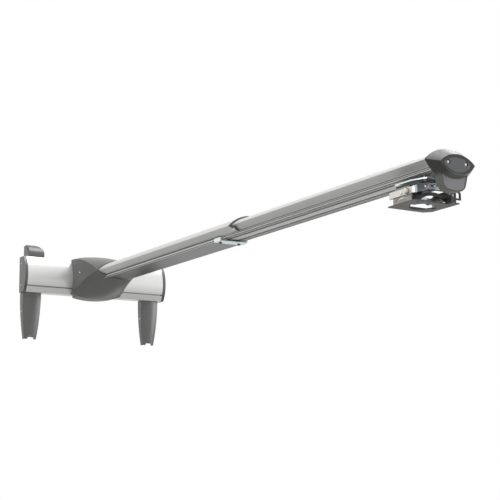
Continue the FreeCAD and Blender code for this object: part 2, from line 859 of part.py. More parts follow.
pad(hub_core, "XZ", size("hub_back"), size("hub_front") - size("hub_back"), [hook])
wrap = barrel(hub_half, rail_low, rail_high, size("hub_bulge"), size("hub_bulge"))
pad(hub_core, "XZ", rail_shoulder, size("hub_front") - rail_shoulder, [wrap])
rail_space = extrusion("rail_space", offset("rail_space_outline", rail_section, size("slide_gap")),
                       RIGHT, 0, rail_length)
sleeve_space = extrusion("sleeve_space", offset("sleeve_space_outline", arm_profile, size("snap_gap")),
                         OUT, size("sleeve_start") - over, sleeve_end)
half_glide = size("glide_length") / 2
glide_front = over - rail_shoulder
glide_back = glide_front + size("glide_depth")
glide_spaces = [
    box("glide_space_high", (-half_glide, glide_front, rail_high),
        (half_glide, glide_back, rail_high + size("slide_gap") + size("glide_sunk"))),
    box("glide_space_low", (-half_glide, glide_front, rail_low - size("slide_gap") - size("glide_sunk")),
        (half_glide, glide_back, rail_low))]
clamp_reach = (size("hub_back") + rail_shoulder) / 2
clamp_rods = []
clamp_screws = []
clamp_radius = size("clamp_screw_radius")
clamp_space = size("hub_bulge") * 2
for side, sign in SIDES:
    across = (half_glide + half_hook) / 2 * sign
    clamp_rods.append(rod("clamp_space_" + side, "z", (across, -clamp_reach, rail_low - clamp_space),
                          clamp_radius + fit, clamp_space))
    foot = point(across, -clamp_reach, rail_low - size("slide_gap"))
    length = size("clamp_screw_length").value
    hollow = clamp_radius.value / 2
    profile = [(0, 0), (clamp_radius.value, 0), (clamp_radius.value, length), (hollow, length)]
    profile += [(hollow, length / 2), (0, length / 2)]
    clamp_screws.append(turned(profile, foot, DOWN))
group("hub_clamp_screws", clamp_screws)
less("hub_casting", hub_core, [rail_space, sleeve_space] + glide_spaces + clamp_rods)
doc.recompute()


def hub_skin_at(reach, height, sign):
    """The point where a level line from the side meets the hub's skin."""
    far = FreeCAD.Vector(hub_half.value * 2 * sign, -reach, height)
    line = Part.makeLine(far, FreeCAD.Vector(0, -reach, height))
    points = [vertex.Point for vertex in line.common(hub_core.Shape).Vertexes]
    return max(points, key=lambda point: abs(point.x))


side_screws = []
for _, sign in SIDES:
    reach = size("side_screw_reach").value
    level = arm_level.value + size("side_screw_rise").value
    here = hub_skin_at(reach, level, sign)
    forward = hub_skin_at(reach + over.value, level, sign) - here
    upward = hub_skin_at(reach, level + over.value, sign) - here
    normal = forward.cross(upward).normalize()
    if normal.x * sign < 0:
        normal = normal * -1
    side_screws.append(socket_screw(size("side_screw_radius"), size("side_screw_head"), small_shank,
                                    skin_lift / 2, here + normal * skin_lift.value, normal))
group("hub_side_screws", side_screws)

glide_gap = size("glide_gap")
glide_reach = size("slide_gap") + size("glide_sunk")
glide_high = box("rail_glide_high", (snap - half_glide, glide_front + snap, rail_high + glide_gap),
                 (half_glide - snap, glide_back - snap, rail_high + glide_reach))
glide_low = box("rail_glide_low", (snap - half_glide, glide_front + snap, rail_low - glide_reach),
                (half_glide - snap, glide_back - snap, rail_low - glide_gap))
glides = doc.addObject("Part::Compound", "rail_glides")
glides.Label = "rail_glides"
glides.Links = [glide_high, glide_low]


# Sleeve: the wall-side stage of the arm, open below between two lips that the bottom cover snaps onto.
sleeve_length = sleeve_end - size("sleeve_start")
sleeve_outer = extrusion("sleeve_outer", arm_profile, OUT, size("sleeve_start"), sleeve_length)
sleeve_inner = extrusion("sleeve_inner", offset("sleeve_inner_outline", arm_profile, -size("sleeve_wall")),
                         OUT, size("sleeve_start") - over, sleeve_length + over * 2)
half_lip = strip_half - size("lip_width")
cover_half = strip_half - size("lip_inset")
sleeve_out = -(sleeve_end + over)
sleeve_in = over - size("sleeve_start")
lip_slot = box("lip_slot", (-half_lip, sleeve_out, strip_low - over),
               (half_lip, sleeve_in, strip_low + size("sleeve_wall") + over))
lip_recess = box("lip_recess", (-cover_half, sleeve_out, strip_low - over),
                 (cover_half, sleeve_in, strip_low + size("lip_recess")))
groove_floor_across = strip_half - size("strip_groove_depth")
groove_low = strip_high - size("strip_groove_height")
strip_grooves = []
for side, sign in SIDES:
    start = groove_floor_across if sign > 0 else -strip_half - over
    stop = start + size("strip_groove_depth") + over
    strip_grooves.append(box("strip_groove_" + side, (start, sleeve_out, groove_low),
                             (stop, sleeve_in, strip_high)))
guide_start = sleeve_end - size("guide_inset")
guide_end = guide_start + size("guide_length")
open_end = box("sleeve_open_end", (-strip_half - over, sleeve_out, strip_low - over),
               (strip_half + over, -guide_end, strip_high))
less("sleeve", sleeve_outer, [sleeve_inner, lip_slot, lip_recess, open_end] + strip_grooves)

cover_edge = cover_half - snap
cover_top = strip_low + size("lip_recess") - snap
rib_half = half_lip - snap
rib_top = strip_low + size("sleeve_wall") - snap
bottom_outline = Outline(-cover_edge, strip_low).to(cover_edge, strip_low).to(cover_edge, cover_top)
bottom_outline.to(rib_half, cover_top).to(rib_half, rib_top).to(-rib_half, rib_top)
bottom_outline.to(-rib_half, cover_top).to(-cover_edge, cover_top).close()
bottom_length = sleeve_end - size("bottom_cover_inset") - size("sleeve_start")
plate("sleeve_bottom_cover", "XZ", size("sleeve_start"), bottom_length, [bottom_outline])

ring_outer = extrusion("ring_outer", offset("ring_outer_outline", arm_profile, size("end_ring_proud")),
                       OUT, sleeve_end, size("end_ring_thick"))
extension_inset = -(size("sleeve_wall") + size("arm_clearance"))
ring_hole = offset("ring_inner_outline", arm_profile, extension_inset + size("ring_clearance"))
ring_inner = extrusion("ring_inner", ring_hole, OUT, sleeve_end - over, size("end_ring_thick") + over * 2)
ring_front = -(sleeve_end + size("end_ring_thick"))
ring_gap = box("ring_gap", (-strip_half - over, ring_front - over, strip_low - over),
               (strip_half + over, over - sleeve_end, strip_high))

# the boss for the lock screw stands square to the arm's lower left side, just clear of the extension
side_run = Size(math.hypot(size("side_in").value, size("side_drop").value),
                "sqrt(Sizes.side_in * Sizes.side_in + Sizes.side_drop * Sizes.side_drop)")
normal_across = -(size("side_drop") / side_run)
normal_up = -(size("side_in") / side_run)
side_normal = FreeCAD.Vector(normal_across.value, 0, normal_up.value)


def over_side(distance):
    """The point above the middle of the arm's lower left side where the boss stands."""
    across = size("side_in") / 2 - half_arm + normal_across * distance
    height = arm_level - size("side_drop") / 2 + normal_up * distance
    return across, -(sleeve_end + size("boss_offset")), height


boss_floor = extension_inset + size("ring_clearance")
boss = rod("ring_boss", "z", over_side(boss_floor), size("boss_radius"), size("boss_proud") - boss_floor)
boss_place = boss.Placement
boss.Placement = FreeCAD.Placement(boss_place.Base, FreeCAD.Rotation(UP, side_normal))
ring_solid = doc.addObject("Part::MultiFuse", "ring_solid")
ring_solid.Shapes = [ring_outer, boss]
less("sleeve_end_ring", ring_solid, [ring_inner, ring_gap])
lock_screw_seat = point(*over_side(size("boss_proud") + skin_lift))
lock_screw = socket_screw(size("lock_screw_radius"), size("lock_screw_thick"), size("lock_screw_shank"),
                          skin_lift / 2, lock_screw_seat, side_normal)
group("arm_lock_screw", [lock_screw])


# Guide plate: a zinc clip across the underside of the sleeve's end, with wings up the two strips.
guide_top = strip_low - snap
guide_low = guide_top - size("guide_thick")
wing_inner = strip_half + snap
wing_outer = wing_inner + size("guide_thick")
wing_top = guide_top + size("guide_wing")
guide_section = Outline(-wing_outer, guide_low).to(wing_outer, guide_low).to(wing_outer, wing_top)
guide_section.to(wing_inner, wing_top).to(wing_inner, guide_top).to(-wing_inner, guide_top)
guide_section.to(-wing_inner, wing_top).to(-wing_outer, wing_top).close()
guide = plate("guide_plate", "XZ", guide_start, size("guide_length"), [guide_section])
half_screws = half_lip + size("guide_screw_offset")
guide_screw_reach = guide_start + size("guide_screw_inset")
screw_holes = [(half_screws * sign, -guide_screw_reach, size("guide_shank") + snap) for _, sign in SIDES]
cut(guide, "XY", guide_low - over, size("guide_thick") + over * 2, [], screw_holes)
guide_screws = []
for _, sign in SIDES:
    base = point(half_screws * sign, -guide_screw_reach, guide_low)
    guide_screws.append(socket_screw(size("guide_screw_radius"), size("pin_head"), size("guide_shank"),
                                     strip_low + size("lip_recess") - guide_low - fit, base, DOWN))
group("guide_screws", guide_screws)


# Extension: the outer stage, with two T-slots and ribbed edges along its flat underside.
extension_low = strip_low - extension_inset
extension_length = size("extension_length")
extension_start = sleeve_end - size("arm_overlap_length")
extension_end = extension_start + extension_length
extension_outline = offset("extension_outline", arm_profile, extension_inset)
extension_outer = extrusion("extension_outer", extension_outline, OUT, extension_start, extension_length)
core_outline = offset("extension_core_outline", arm_profile, extension_inset - size("extension_wall"))
extension_core = extrusion("extension_core", core_outline, OUT, extension_start - over,
                           extension_length + over * 2)
extension_shell = less("extension_shell", extension_outer, [extension_core])
extension_out = -extension_end
extension_in = -extension_start
skin_top = extension_low + size("extension_wall")
channel_top = skin_top + size("channel_height")
channels = []
openings = []
for side, sign in SIDES:
    centre = size("slot_centre") * sign
    half_channel = size("channel_width") / 2
    wall_half = half_channel + size("channel_wall")
    half_slot = size("slot_opening") / 2
    channels.append(box("channel_" + side, (centre - wall_half, extension_out, skin_top - over),
                        (centre + wall_half, extension_in, channel_top + size("channel_wall"))))
    openings.append(box("channel_space_" + side, (centre - half_channel, extension_out - over, skin_top),
                        (centre + half_channel, extension_in + over, channel_top)))
    under = extension_low - over
    openings.append(box("slot_space_" + side, (centre - half_slot, extension_out - over, under),
                        (centre + half_slot, extension_in + over, skin_top + over)))
    for number in range(RIB_COUNT):
        inner = size("slot_centre") + wall_half + size("rib_pitch") * number
        start = inner if sign > 0 else -inner - size("rib_cut")
        rib_floor = extension_low + size("rib_depth")
        openings.append(box("rib_space_%s_%d" % (side, number), (start, extension_out - over, under),
                            (start + size("rib_cut"), extension_in + over, rib_floor)))
    side_face = strip_half + extension_inset
    start = side_face - size("rib_depth") if sign > 0 else -side_face - over
    for number in range(SIDE_RIB_COUNT):
        low = extension_low + size("side_rib_rise") + size("rib_pitch") * number
        stop = start + size("rib_depth") + over
        openings.append(box("side_rib_space_%s_%d" % (side, number), (start, extension_out - over, low),
                            (stop, extension_in + over, low + size("rib_cut"))))
shell_and_channels = doc.addObject("Part::MultiFuse", "shell_and_channels")
shell_and_channels.Shapes = [extension_shell] + channels
less("extension", shell_and_channels, openings)

# End shoe: a nylon plug on the extension's inner end, which runs inside the sleeve.
shoe_outline = offset("shoe_outline", arm_profile, -(size("sleeve_wall") + size("ring_clearance")))
shoe_start = extension_start - size("shoe_thick")
shoe = extrusion("extension_shoe", shoe_outline, OUT, shoe_start, size("shoe_thick"))
shoe.Label = "extension_shoe"


# Head cap: a casting that narrows from the arm's eye shape to a smaller eye, with a shield below it.
cap_start = extension_end
cap_end = cap_start + size("cap_thick")
half_cap = size("cap_width") / 2
half_eye = size("eye_width") / 2
eye_level = arm_level - size("eye_drop")
head_core = new_body("head_core")
rear_lens = lens(half_cap, arm_level, size("cap_dome"), size("cap_belly"))
front_lens = lens(half_eye, eye_level, size("eye_dome"), size("eye_belly"))
loft(head_core, "AdditiveLoft", [new_sketch(head_core, "XZ", cap_start, [rear_lens]),
                                 new_sketch(head_core, "XZ", cap_end, [front_lens])])

half_shield = size("shield_width") / 2
shield_low = arm_level - size("shield_drop")
shield_start = cap_start + size("shield_back")
shield_side = half_shield - size("shield_taper")
shield_foot = shield_side - size("shield_corner")


def shield_outline(inset, top=arm_level - size("cap_dome") / 2):
    """The shield under the eye up to a level, moved inwards by inset."""
    foot_level = shield_low - size("shield_corner") + inset
    bulge = size("shield_bulge")
    outline = Outline(inset - half_shield, top).to(half_shield - inset, top)
    outline.to(shield_side - inset, shield_low).to(shield_foot, foot_level, bulge)
    outline.to(-shield_foot, foot_level, bulge).to(inset - shield_side, shield_low, bulge)
    return outline.close()


shield_body = plate("shield_body", "XZ", shield_start, size("shield_thick"), [shield_outline(as_size(0))])
shield_rear = plate("shield_rear", "XZ", cap_start - size("shield_rear_length"),
                    size("shield_rear_length") + size("shield_back"),
                    [shield_outline(as_size(0), extension_low - over)])
spigot_outline = offset("spigot_outline", arm_profile, extension_inset - size("extension_wall") - snap)
spigot = extrusion("spigot", spigot_outline, OUT, cap_start - size("spigot_length"),
                   size("spigot_length") + over)
spigot_level = channel_top + size("channel_wall") + snap
spigot_trim = box("spigot_trim", (-half_arm, -(cap_start + over), strip_low),
                  (half_arm, size("spigot_length") + over - cap_start, spigot_level))
spigot_trimmed = less("spigot_trimmed", spigot, [spigot_trim])
cap_solid = doc.addObject("Part::MultiFuse", "cap_solid")
cap_solid.Shapes = [head_core, shield_body, shield_rear, spigot_trimmed]
eye_body = new_body("eye_recess_carrier")
eye_sketch = new_sketch(eye_body, "XZ", 0, [front_lens])
eye_recess = extrusion("eye_recess", offset("eye_recess_outline", eye_sketch, -size("eye_rim")),
                       OUT, cap_end - size("panel_sunk"), size("panel_sunk") + over)
shield_end = shield_start + size("shield_thick")
shield_recess_body = plate("shield_recess", "XZ", shield_end - size("panel_sunk"), size("panel_sunk"),
                           [shield_outline(size("shield_rim"))])
shield_recess = less("shield_recess_open", shield_recess_body, [head_core])
half_head_screws = size("head_screw_spacing") / 2
head_screw_level = eye_level + size("head_screw_rise")
recess_radius = size("head_recess_radius")
recess_length = over + size("panel_sunk") + size("head_recess_depth")
screw_recesses = [rod("screw_recess_" + side, "y", (half_head_screws * sign, -cap_end - over,
                                                    head_screw_level),
                      recess_radius, recess_length) for side, sign in SIDES]
less("head_cap", cap_solid, [eye_recess, shield_recess] + screw_recesses)

panel_holes = [(half_head_screws * sign, head_screw_level, recess_radius) for _, sign in SIDES]
panel_solid = extrusion("eye_panel_solid", offset("eye_panel_outline", eye_sketch, -(size("eye_rim") + snap)),
                        OUT, cap_end - size("panel_sunk"), size("panel_thick"))
hole_start = cap_end - size("panel_sunk") - over
hole_body = plate("eye_panel_holes", "XZ", hole_start, size("panel_thick") + over * 2, [], panel_holes)
less("eye_panel", panel_solid, [hole_body])
shield_plate = plate("shield_plate_solid", "XZ", shield_end - size("panel_sunk"), size("panel_thick"),
                     [shield_outline(size("shield_rim") + snap)])
less("shield_panel", shield_plate, [head_core])
head_screws = []
for _, sign in SIDES:
    floor = size("panel_sunk") + size("head_recess_depth") - cap_end
    base = point(half_head_screws * sign, floor - skin_lift, head_screw_level)
    head_screws.append(socket_screw(size("head_screw_radius"), size("head_screw_head"), size("head_shank"),
                                    skin_lift / 2, base, OUT))
group("head_screws", head_screws)


# Trolley: a zinc plate that hangs from T-bolts in the extension's slots and slides along them.
head_y = size("head_inset_length") - extension_end
trolley_top = extension_low - size("trolley_gap")
trolley_low = trolley_top - size("trolley_thick")
half_trolley = size("trolley_width") / 2
half_nose = size("trolley_nose_width") / 2
trolley_outline = Outline(-half_trolley, size("trolley_back")).to(-half_trolley, -size("trolley_straight"))
trolley_outline.to(-half_nose, -size("trolley_front")).to(half_nose, -size("trolley_front"))
trolley_outline.to(half_trolley, -size("trolley_straight")).to(half_trolley, size("trolley_back")).close()
half_pitch = size("trolley_bolt_pitch") / 2
bolt_spots = [(size("slot_centre") * sign, half_pitch * way) for _, sign in SIDES for way in (-1, 1)]
bolt_gap = size("trolley_bolt_radius") + snap
holes = [(across, along, bolt_gap) for across, along in bolt_spots]
holes.append((0, 0, size("yaw_bolt_radius") + fit))
trolley = plate("trolley_plate", "XY", trolley_low, size("trolley_thick"), [trolley_outline], holes)
place(trolley, "y", head_y)
spacers = []
trolley_bolts = []
nuts = []
gap = size("trolley_gap").value
stem = size("trolley_bolt_radius").value
half_head = (size("channel_width") / 2 - size("bolt_head_gap")).value
head_low = (skin_top - trolley_top + seat).value
head_high = (channel_top - trolley_top - size("bolt_head_gap")).value
stem_low = -(size("trolley_thick") + size("nut_thick") + size("bolt_tip")).value
for across, along in bolt_spots:
    foot = point(across, head_y + along, trolley_top)
    tube = Part.makeCylinder(size("post_radius").value, gap - seat.value, foot, UP)
    spacers.append(tube.cut(Part.makeCylinder(bolt_gap.value, gap, foot, UP)))
    profile = [(0, stem_low), (stem, stem_low), (stem, head_low), (half_head, head_low)]
    profile += [(half_head, head_high), (0, head_high)]
    trolley_bolts.append(turned(profile, foot, UP))
    under = foot - UP * size("trolley_thick").value
    nuts.append(hexagon(under, size("nut_radius").value, size("nut_thick").value, DOWN, stem + fit.value))
group("trolley_spacers", spacers)
group("trolley_bolts", trolley_bolts)
group("trolley_nuts", nuts)


# Yaw bracket: turns on one upright bolt under the trolley and carries the roll pins in two ears.
yaw_high = trolley_low - size("nut_thick") - size("bolt_tip") - size("yaw_gap")
yaw_low = yaw_high - size("yaw_thick")
half_yaw = size("yaw_width") / 2
half_yaw_length = size("yaw_length") / 2
yaw_bore = size("yaw_bolt_radius") + fit
roll_level = yaw_low - size("roll_drop")
roll_bore = size("roll_pin_radius") + fit


def arc_slot(sign):
    """A slot that follows a circle about the yaw bolt, on one side of it."""
    half_turn = math.radians(size("arc_slot_half_turn").value)
    inner = size("arc_slot_radius") - size("arc_slot_width") / 2
    outer = size("arc_slot_radius") + size("arc_slot_width") / 2
    cosine = math.cos(half_turn)
    sine = math.sin(half_turn)
    slot = Outline(inner * cosine * sign, -inner * sine).to(outer * cosine * sign, -outer * sine)
    slot.to(outer * cosine * sign, outer * sine, outer * (cosine - 1) * sign)
    slot.to(inner * cosine * sign, inner * sine).close(inner * (1 - cosine) * sign)
    return slot


yaw = new_body("yaw_bracket")
corner = size("yaw_corner")
yaw_plan = Outline(-half_yaw + corner, -half_yaw_length).to(half_yaw - corner, -half_yaw_length)
yaw_plan.to(half_yaw, corner - half_yaw_length).to(half_yaw, half_yaw_length - corner)
yaw_plan.to(half_yaw - corner, half_yaw_length).to(-half_yaw + corner, half_yaw_length)
yaw_plan.to(-half_yaw, half_yaw_length - corner).to(-half_yaw, corner - half_yaw_length).close()
pad(yaw, "XY", yaw_low, size("yaw_thick"), [yaw_plan, arc_slot(-1), arc_slot(1)], [(0, 0, yaw_bore)])
half_ear = size("yaw_ear_width") / 2
ear_low = yaw_low - size("yaw_ear_drop")
lock_radius = size("roll_lock_radius")
lock_level = roll_level - size("roll_lock_drop")
ear_corner = size("ear_corner")
for start in (-half_yaw_length, half_yaw_length - size("yaw_ear_thick")):
    ear = Outline(-half_ear, yaw_low + over).to(half_ear, yaw_low + over).to(half_ear, ear_low + ear_corner)
    ear.to(half_ear - ear_corner, ear_low).to(ear_corner - half_ear, ear_low)
    ear.to(-half_ear, ear_low + ear_corner).close()
    holes = [(0, roll_level, roll_bore), (-size("roll_lock_offset"), lock_level, lock_radius + fit)]
    pad(yaw, "XZ", start, size("yaw_ear_thick"), [ear], holes)
place(yaw, "y", head_y)

yaw_radius = size("yaw_bolt_radius").value
yaw_head = size("yaw_head_thick")
washer_base = point(0, head_y, yaw_high + fit)
washer_thick = (trolley_low - yaw_high - fit).value
washer = Part.makeCylinder(size("yaw_washer_radius").value, washer_thick, washer_base, UP)
group("yaw_washer", [washer.cut(Part.makeCylinder(yaw_bore.value, washer_thick, washer_base, UP))])
bolt_top = (trolley_top + yaw_head - yaw_low).value
head_radius = size("yaw_head_radius").value
bolt_profile = [(0, -yaw_head.value), (head_radius, -yaw_head.value), (head_radius, 0), (yaw_radius, 0)]
bolt_profile += [(yaw_radius, bolt_top), (0, bolt_top)]
group("yaw_bolt", [turned(bolt_profile, point(0, head_y, yaw_low - fit), UP)])
group("yaw_nut", [hexagon(point(0, head_y, trolley_top), head_radius, size("yaw_nut_thick").value, UP,
                          yaw_radius + fit.value)])


# Roll cradle: a band bent into a ring, with an arched lower edge, that swings on two pins along Y.
half_cradle = size("cradle_width") / 2
half_cradle_length = size("cradle_length") / 2
band = size("cradle_wall")
cradle_low = roll_level + size("cradle_top") - size("cradle_height")


def ring_plan(inset):
    """A rectangle with rounded corners, moved inwards by inset."""
    across = half_cradle - inset
    along = half_cradle_length - inset
    round_size = size("cradle_corner") - inset
    bulge = round_size * -QUARTER_BULGE
    plan = Outline(round_size - across, -along).to(across - round_size, -along)
    plan.to(across, round_size - along, bulge).to(across, along - round_size)
    plan.to(across - round_size, along, bulge).to(round_size - across, along)
    plan.to(-across, along - round_size, bulge).to(-across, round_size - along).close(bulge)
    return plan


cradle = new_body("roll_cradle")
pad(cradle, "XY", cradle_low, size("cradle_height"), [ring_plan(as_size(0)), ring_plan(band)])
half_arch = size("arch_width") / 2
arch = Outline(-half_arch, cradle_low - over).to(-half_arch, cradle_low)
arch.to(half_arch, cradle_low, size("arch_rise")).to(half_arch, cradle_low - over).close()
tilt_level = roll_level - size("tilt_drop")
band_high = roll_level + size("cradle_top")
side_high = tilt_level + size("side_band_rise")
brow = Outline(-half_cradle - over, side_high).to(half_cradle + over, side_high, band_high - side_high)
brow.to(half_cradle + over, band_high + over).to(-half_cradle - over, band_high + over).close()
cut(cradle, "XZ", -half_cradle_length - over, size("cradle_length") + over * 2, [arch, brow])
half_band_holes = size("band_hole_spacing") / 2
half_slot_height = size("lock_slot_height") / 2
lock_slot = upright_slot(-size("roll_lock_offset"), lock_level, lock_radius + size("lock_slot_gap"),
                         half_slot_height)
band_holes = [(half_band_holes * sign, roll_level, size("band_hole_radius")) for _, sign in SIDES]
band_holes.append((0, roll_level, roll_bore))
for start in (-half_cradle_length - over, half_cradle_length - band - over):
    cut(cradle, "XZ", start, band + over * 2, [lock_slot], band_holes)
knob_radius = size("knob_stem_radius")
tilt_bore = size("tilt_pin_radius") + fit
tilt_pin_hole = (0, tilt_level, tilt_bore)
knob_slot = upright_slot(-size("knob_offset"), tilt_level, knob_radius + size("knob_slot_gap"),
                         size("knob_slot_height") / 2)
cut(cradle, "YZ", -half_cradle - over, band + over * 2, [knob_slot], [tilt_pin_hole])
cut(cradle, "YZ", half_cradle - band - over, band + over * 2, [], [tilt_pin_hole])
place(cradle, "y", head_y)

roll_pins = []
pin_length = half_cradle_length - half_yaw_length + size("yaw_ear_thick")
for way, direction in ((-1, OUT), (1, OUT * -1)):
    base = point(0, head_y + half_cradle_length * way, roll_level)
    roll_pins.append(socket_screw(size("roll_head_radius"), size("pin_head"), size("roll_pin_radius"),
                                  pin_length, base, direction))
group("roll_pins", roll_pins)
base = point(-size("roll_lock_offset"), head_y - half_cradle_length - seat, lock_level)
lock = socket_screw(size("roll_head_radius"), size("pin_head"), lock_radius, pin_length, base, OUT)
group("roll_lock_screw", [lock])


# Tilt bracket: a folded channel that swings in the cradle on two pins along X.
half_tilt = half_cradle - band - size("tilt_gap")
half_tilt_length = size("tilt_length") / 2
web_low = tilt_level - size("tilt_foot")
web_high = web_low + size("tilt_wall")
tilt_high = tilt_level + size("tilt_top")
tilt = new_body("tilt_bracket")
half_window = size("tilt_window_width") / 2
half_window_length = size("tilt_window_length") / 2
web = rectangle(-half_tilt, -half_tilt_length, half_tilt, half_tilt_length)
pad(tilt, "XY", web_low, size("tilt_wall"),
    [web, rectangle(-half_window, -half_window_length, half_window, half_window_length)])
rounding = size("tilt_round")
corner_bulge = rounding * QUARTER_BULGE
slot_half = size("side_slot_half_length")
slot_bulge = size("side_slot_bulge")
slot_low = tilt_level - size("side_slot_drop")
slot_high = slot_low + size("side_slot_width")
side_slot = Outline(-slot_half, slot_low).to(slot_half, slot_low, slot_bulge).to(slot_half, slot_high)
side_slot.to(-slot_half, slot_high, -slot_bulge).close()
for start in (-half_tilt, half_tilt - size("tilt_wall")):
    wall = Outline(-half_tilt_length, web_low).to(-half_tilt_length, tilt_high - rounding)
    wall.to(rounding - half_tilt_length, tilt_high, corner_bulge).to(half_tilt_length - rounding, tilt_high)
    wall.to(half_tilt_length, tilt_high - rounding, corner_bulge).to(half_tilt_length, web_low).close()
    holes = [(0, tilt_level, tilt_bore), (-size("knob_offset"), tilt_level, knob_radius + fit)]
    pad(tilt, "YZ", start, size("tilt_wall"), [wall, side_slot], holes)
place(tilt, "y", head_y)
tilt_pins = []
pin_length = half_cradle - half_tilt + size("tilt_wall")
for _, sign in SIDES:
    base = point(half_cradle * sign, head_y, tilt_level)
    tilt_pins.append(socket_screw(size("roll_head_radius"), size("pin_head"), size("tilt_pin_radius"),
                                  pin_length, base, RIGHT * sign))
group("tilt_pins", tilt_pins)

knob_base = point(-half_cradle - seat, head_y - size("knob_offset"), tilt_level)
stem = knob_radius.value
grip = size("knob_radius").value
thick = size("knob_thick").value
edge = size("knob_edge").value
stem_length = (pin_length + over).value
knob_profile = [(0, -stem_length), (stem, -stem_length), (stem, 0), (size("knob_neck").value, 0)]
knob_profile += [(grip, edge), (grip, thick - edge), (grip - edge, thick), (0, thick)]
knob = turned(knob_profile, knob_base, LEFT)
circle = size("knob_flute_circle").value
for turn in range(FLUTE_COUNT):
    angle = 2 * math.pi * turn / FLUTE_COUNT
    centre = knob_base + FreeCAD.Vector(0, math.cos(angle), math.sin(angle)) * circle
    knob = knob.cut(Part.makeCylinder(size("knob_flute").value, thick, centre, LEFT))
group("tilt_knob", [knob])


# Interface plate: the plate that a projector's own bracket is bolted to.
plate_high = web_low
plate_low = plate_high - size("plate_thick")
plate_left = -size("plate_left")
plate_right = size("plate_right")
half_plate = size("plate_length") / 2
chamfer = size("plate_chamfer")
tab_front = -(half_plate + size("tab_length"))
interface = new_body("interface_plate")
nick = size("plate_nick")
plan = Outline(plate_left, nick - half_plate).to(plate_left + nick, -half_plate)
plan.to(plate_right - size("tab_width"), -half_plate).to(plate_right - size("tab_width"), tab_front)
plan.to(plate_right, tab_front).to(plate_right, half_plate - chamfer)
plan.to(plate_right - chamfer, half_plate).to(plate_left, half_plate).close()
hole_radius = size("plate_hole_radius")
ear_half = size("plate_slot_width") / 2
ear_reach = size("plate_slot_length") / 2
mouth = math.sqrt(hole_radius.value ** 2 - ear_half.value ** 2) / hole_radius.value
mouth_across = hole_radius * mouth
opening = Outline(-mouth_across, ear_half).to(mouth_across, ear_half, hole_radius - ear_half)
opening.to(ear_reach, ear_half).to(ear_reach, -ear_half).to(mouth_across, -ear_half)
opening.to(-mouth_across, -ear_half, hole_radius - ear_half).to(-ear_reach, -ear_half)
opening.to(-ear_reach, ear_half).close()
mount_across = size("mount_spacing_x") / 2
mount_along = size("mount_spacing_y") / 2
mount_holes = [(mount_across * sign, mount_along * way, size("mount_hole_radius"))
               for _, sign in SIDES for way in (-1, 1)]
pad(interface, "XY", plate_low, size("plate_thick"), [plan, opening], mount_holes)
place(interface, "y", head_y)


# Lock frame: a black arch with two bars that holds the interface plate under the tilt bracket.
frame_half = size("frame_width") / 2
frame_band = size("frame_band")
frame_spring = plate_high + size("frame_foot")
frame_rise = web_high + size("frame_crown") - frame_spring
half_frame_thick = size("frame_thick") / 2
frame = new_body("lock_frame")
frame_arch = Outline(-frame_half, plate_high).to(-frame_half, frame_spring)
frame_arch.to(frame_half, frame_spring, frame_rise).to(frame_half, plate_high)
frame_arch.to(frame_half - frame_band, plate_high)
frame_arch.to(frame_band - frame_half, plate_high, -(frame_rise + size("frame_foot") - frame_band)).close()
pad(frame, "XZ", size("frame_reach") - half_frame_thick, size("frame_thick"), [frame_arch])
for _, sign in SIDES:
    inner = frame_half - size("frame_bar")
    low = inner if sign > 0 else -frame_half
    bar = rectangle(low, -size("frame_reach"), low + size("frame_bar"), size("frame_bar_back"))
    pad(frame, "XY", web_high, size("frame_bar"), [bar])
place(frame, "y", head_y)


# Lock lever: a loop that stands on a pin in a block at the plate's front right corner.
block_right = plate_right - size("block_inset")
block_left = block_right - size("block_width")
block_front = tab_front + over
pin_height = plate_high + size("lever_rise")
pin_radius = size("lever_pin_radius")
pin_start = block_right - size("block_width") / 2
block = new_body("lever_block")
pad(block, "XY", plate_high, size("block_height"),
    [rectangle(block_left, block_front, block_right, block_front + size("block_depth"))])
pin_bore = pin_radius + fit
cut(block, "YZ", pin_start, size("block_width"), [], [(-size("lever_reach"), pin_height, pin_bore)])
place(block, "y", head_y)

lever_left = block_right + size("lever_gap")
lever_right = lever_left + size("lever_width")
lever_low = pin_height - size("lever_bar") / 2
lever_high = lever_low + size("lever_height")


def loop_plan(inset, rounding):
    """The lever's loop, with rounded top corners, moved inwards by inset."""
    left = lever_left + inset
    right = lever_right - inset
    low = lever_low + inset
    high = lever_high - inset
    bulge = rounding * QUARTER_BULGE
    plan = Outline(left, low).to(left, high - rounding).to(left + rounding, high, bulge)
    return plan.to(right - rounding, high).to(right, high - rounding, bulge).to(right, low).close()


lever_inner_round = size("lever_round") - size("lever_bar")
lever = new_body("lock_lever")
pad(lever, "XZ", size("lever_reach") - size("lever_bar") / 2, size("lever_bar"),
    [loop_plan(as_size(0), size("lever_round")), loop_plan(size("lever_bar"), lever_inner_round)])
lever_bore = (-size("lever_reach"), pin_height, pin_bore)
cut(lever, "YZ", block_right, size("lever_width") + over * 2, [], [lever_bore])
place(lever, "y", head_y)
pin_length = lever_right - pin_start + size("lever_pin_proud")
pin_base = point(pin_start, head_y - size("lever_reach"), pin_height)
group("lever_pin", [Part.makeCylinder(pin_radius.value, pin_length.value, pin_base, RIGHT)])


NODES = """
wall_plate_left wall_plate_right rail_bolts rail end_cap_left end_cap_right end_cap_screws
upper_cover_left upper_cover_right lower_cover_left lower_cover_right cover_screws
hub_casting rail_glides hub_clamp_screws hub_side_screws
sleeve sleeve_bottom_cover sleeve_end_ring guide_plate guide_screws arm_lock_screw
extension extension_shoe head_cap eye_panel shield_panel head_screws
trolley_plate trolley_spacers trolley_bolts trolley_nuts yaw_washer yaw_bolt yaw_nut
yaw_bracket roll_lock_screw roll_cradle roll_pins tilt_pins
tilt_bracket tilt_knob interface_plate lock_frame lever_block lever_pin lock_lever
""".split()

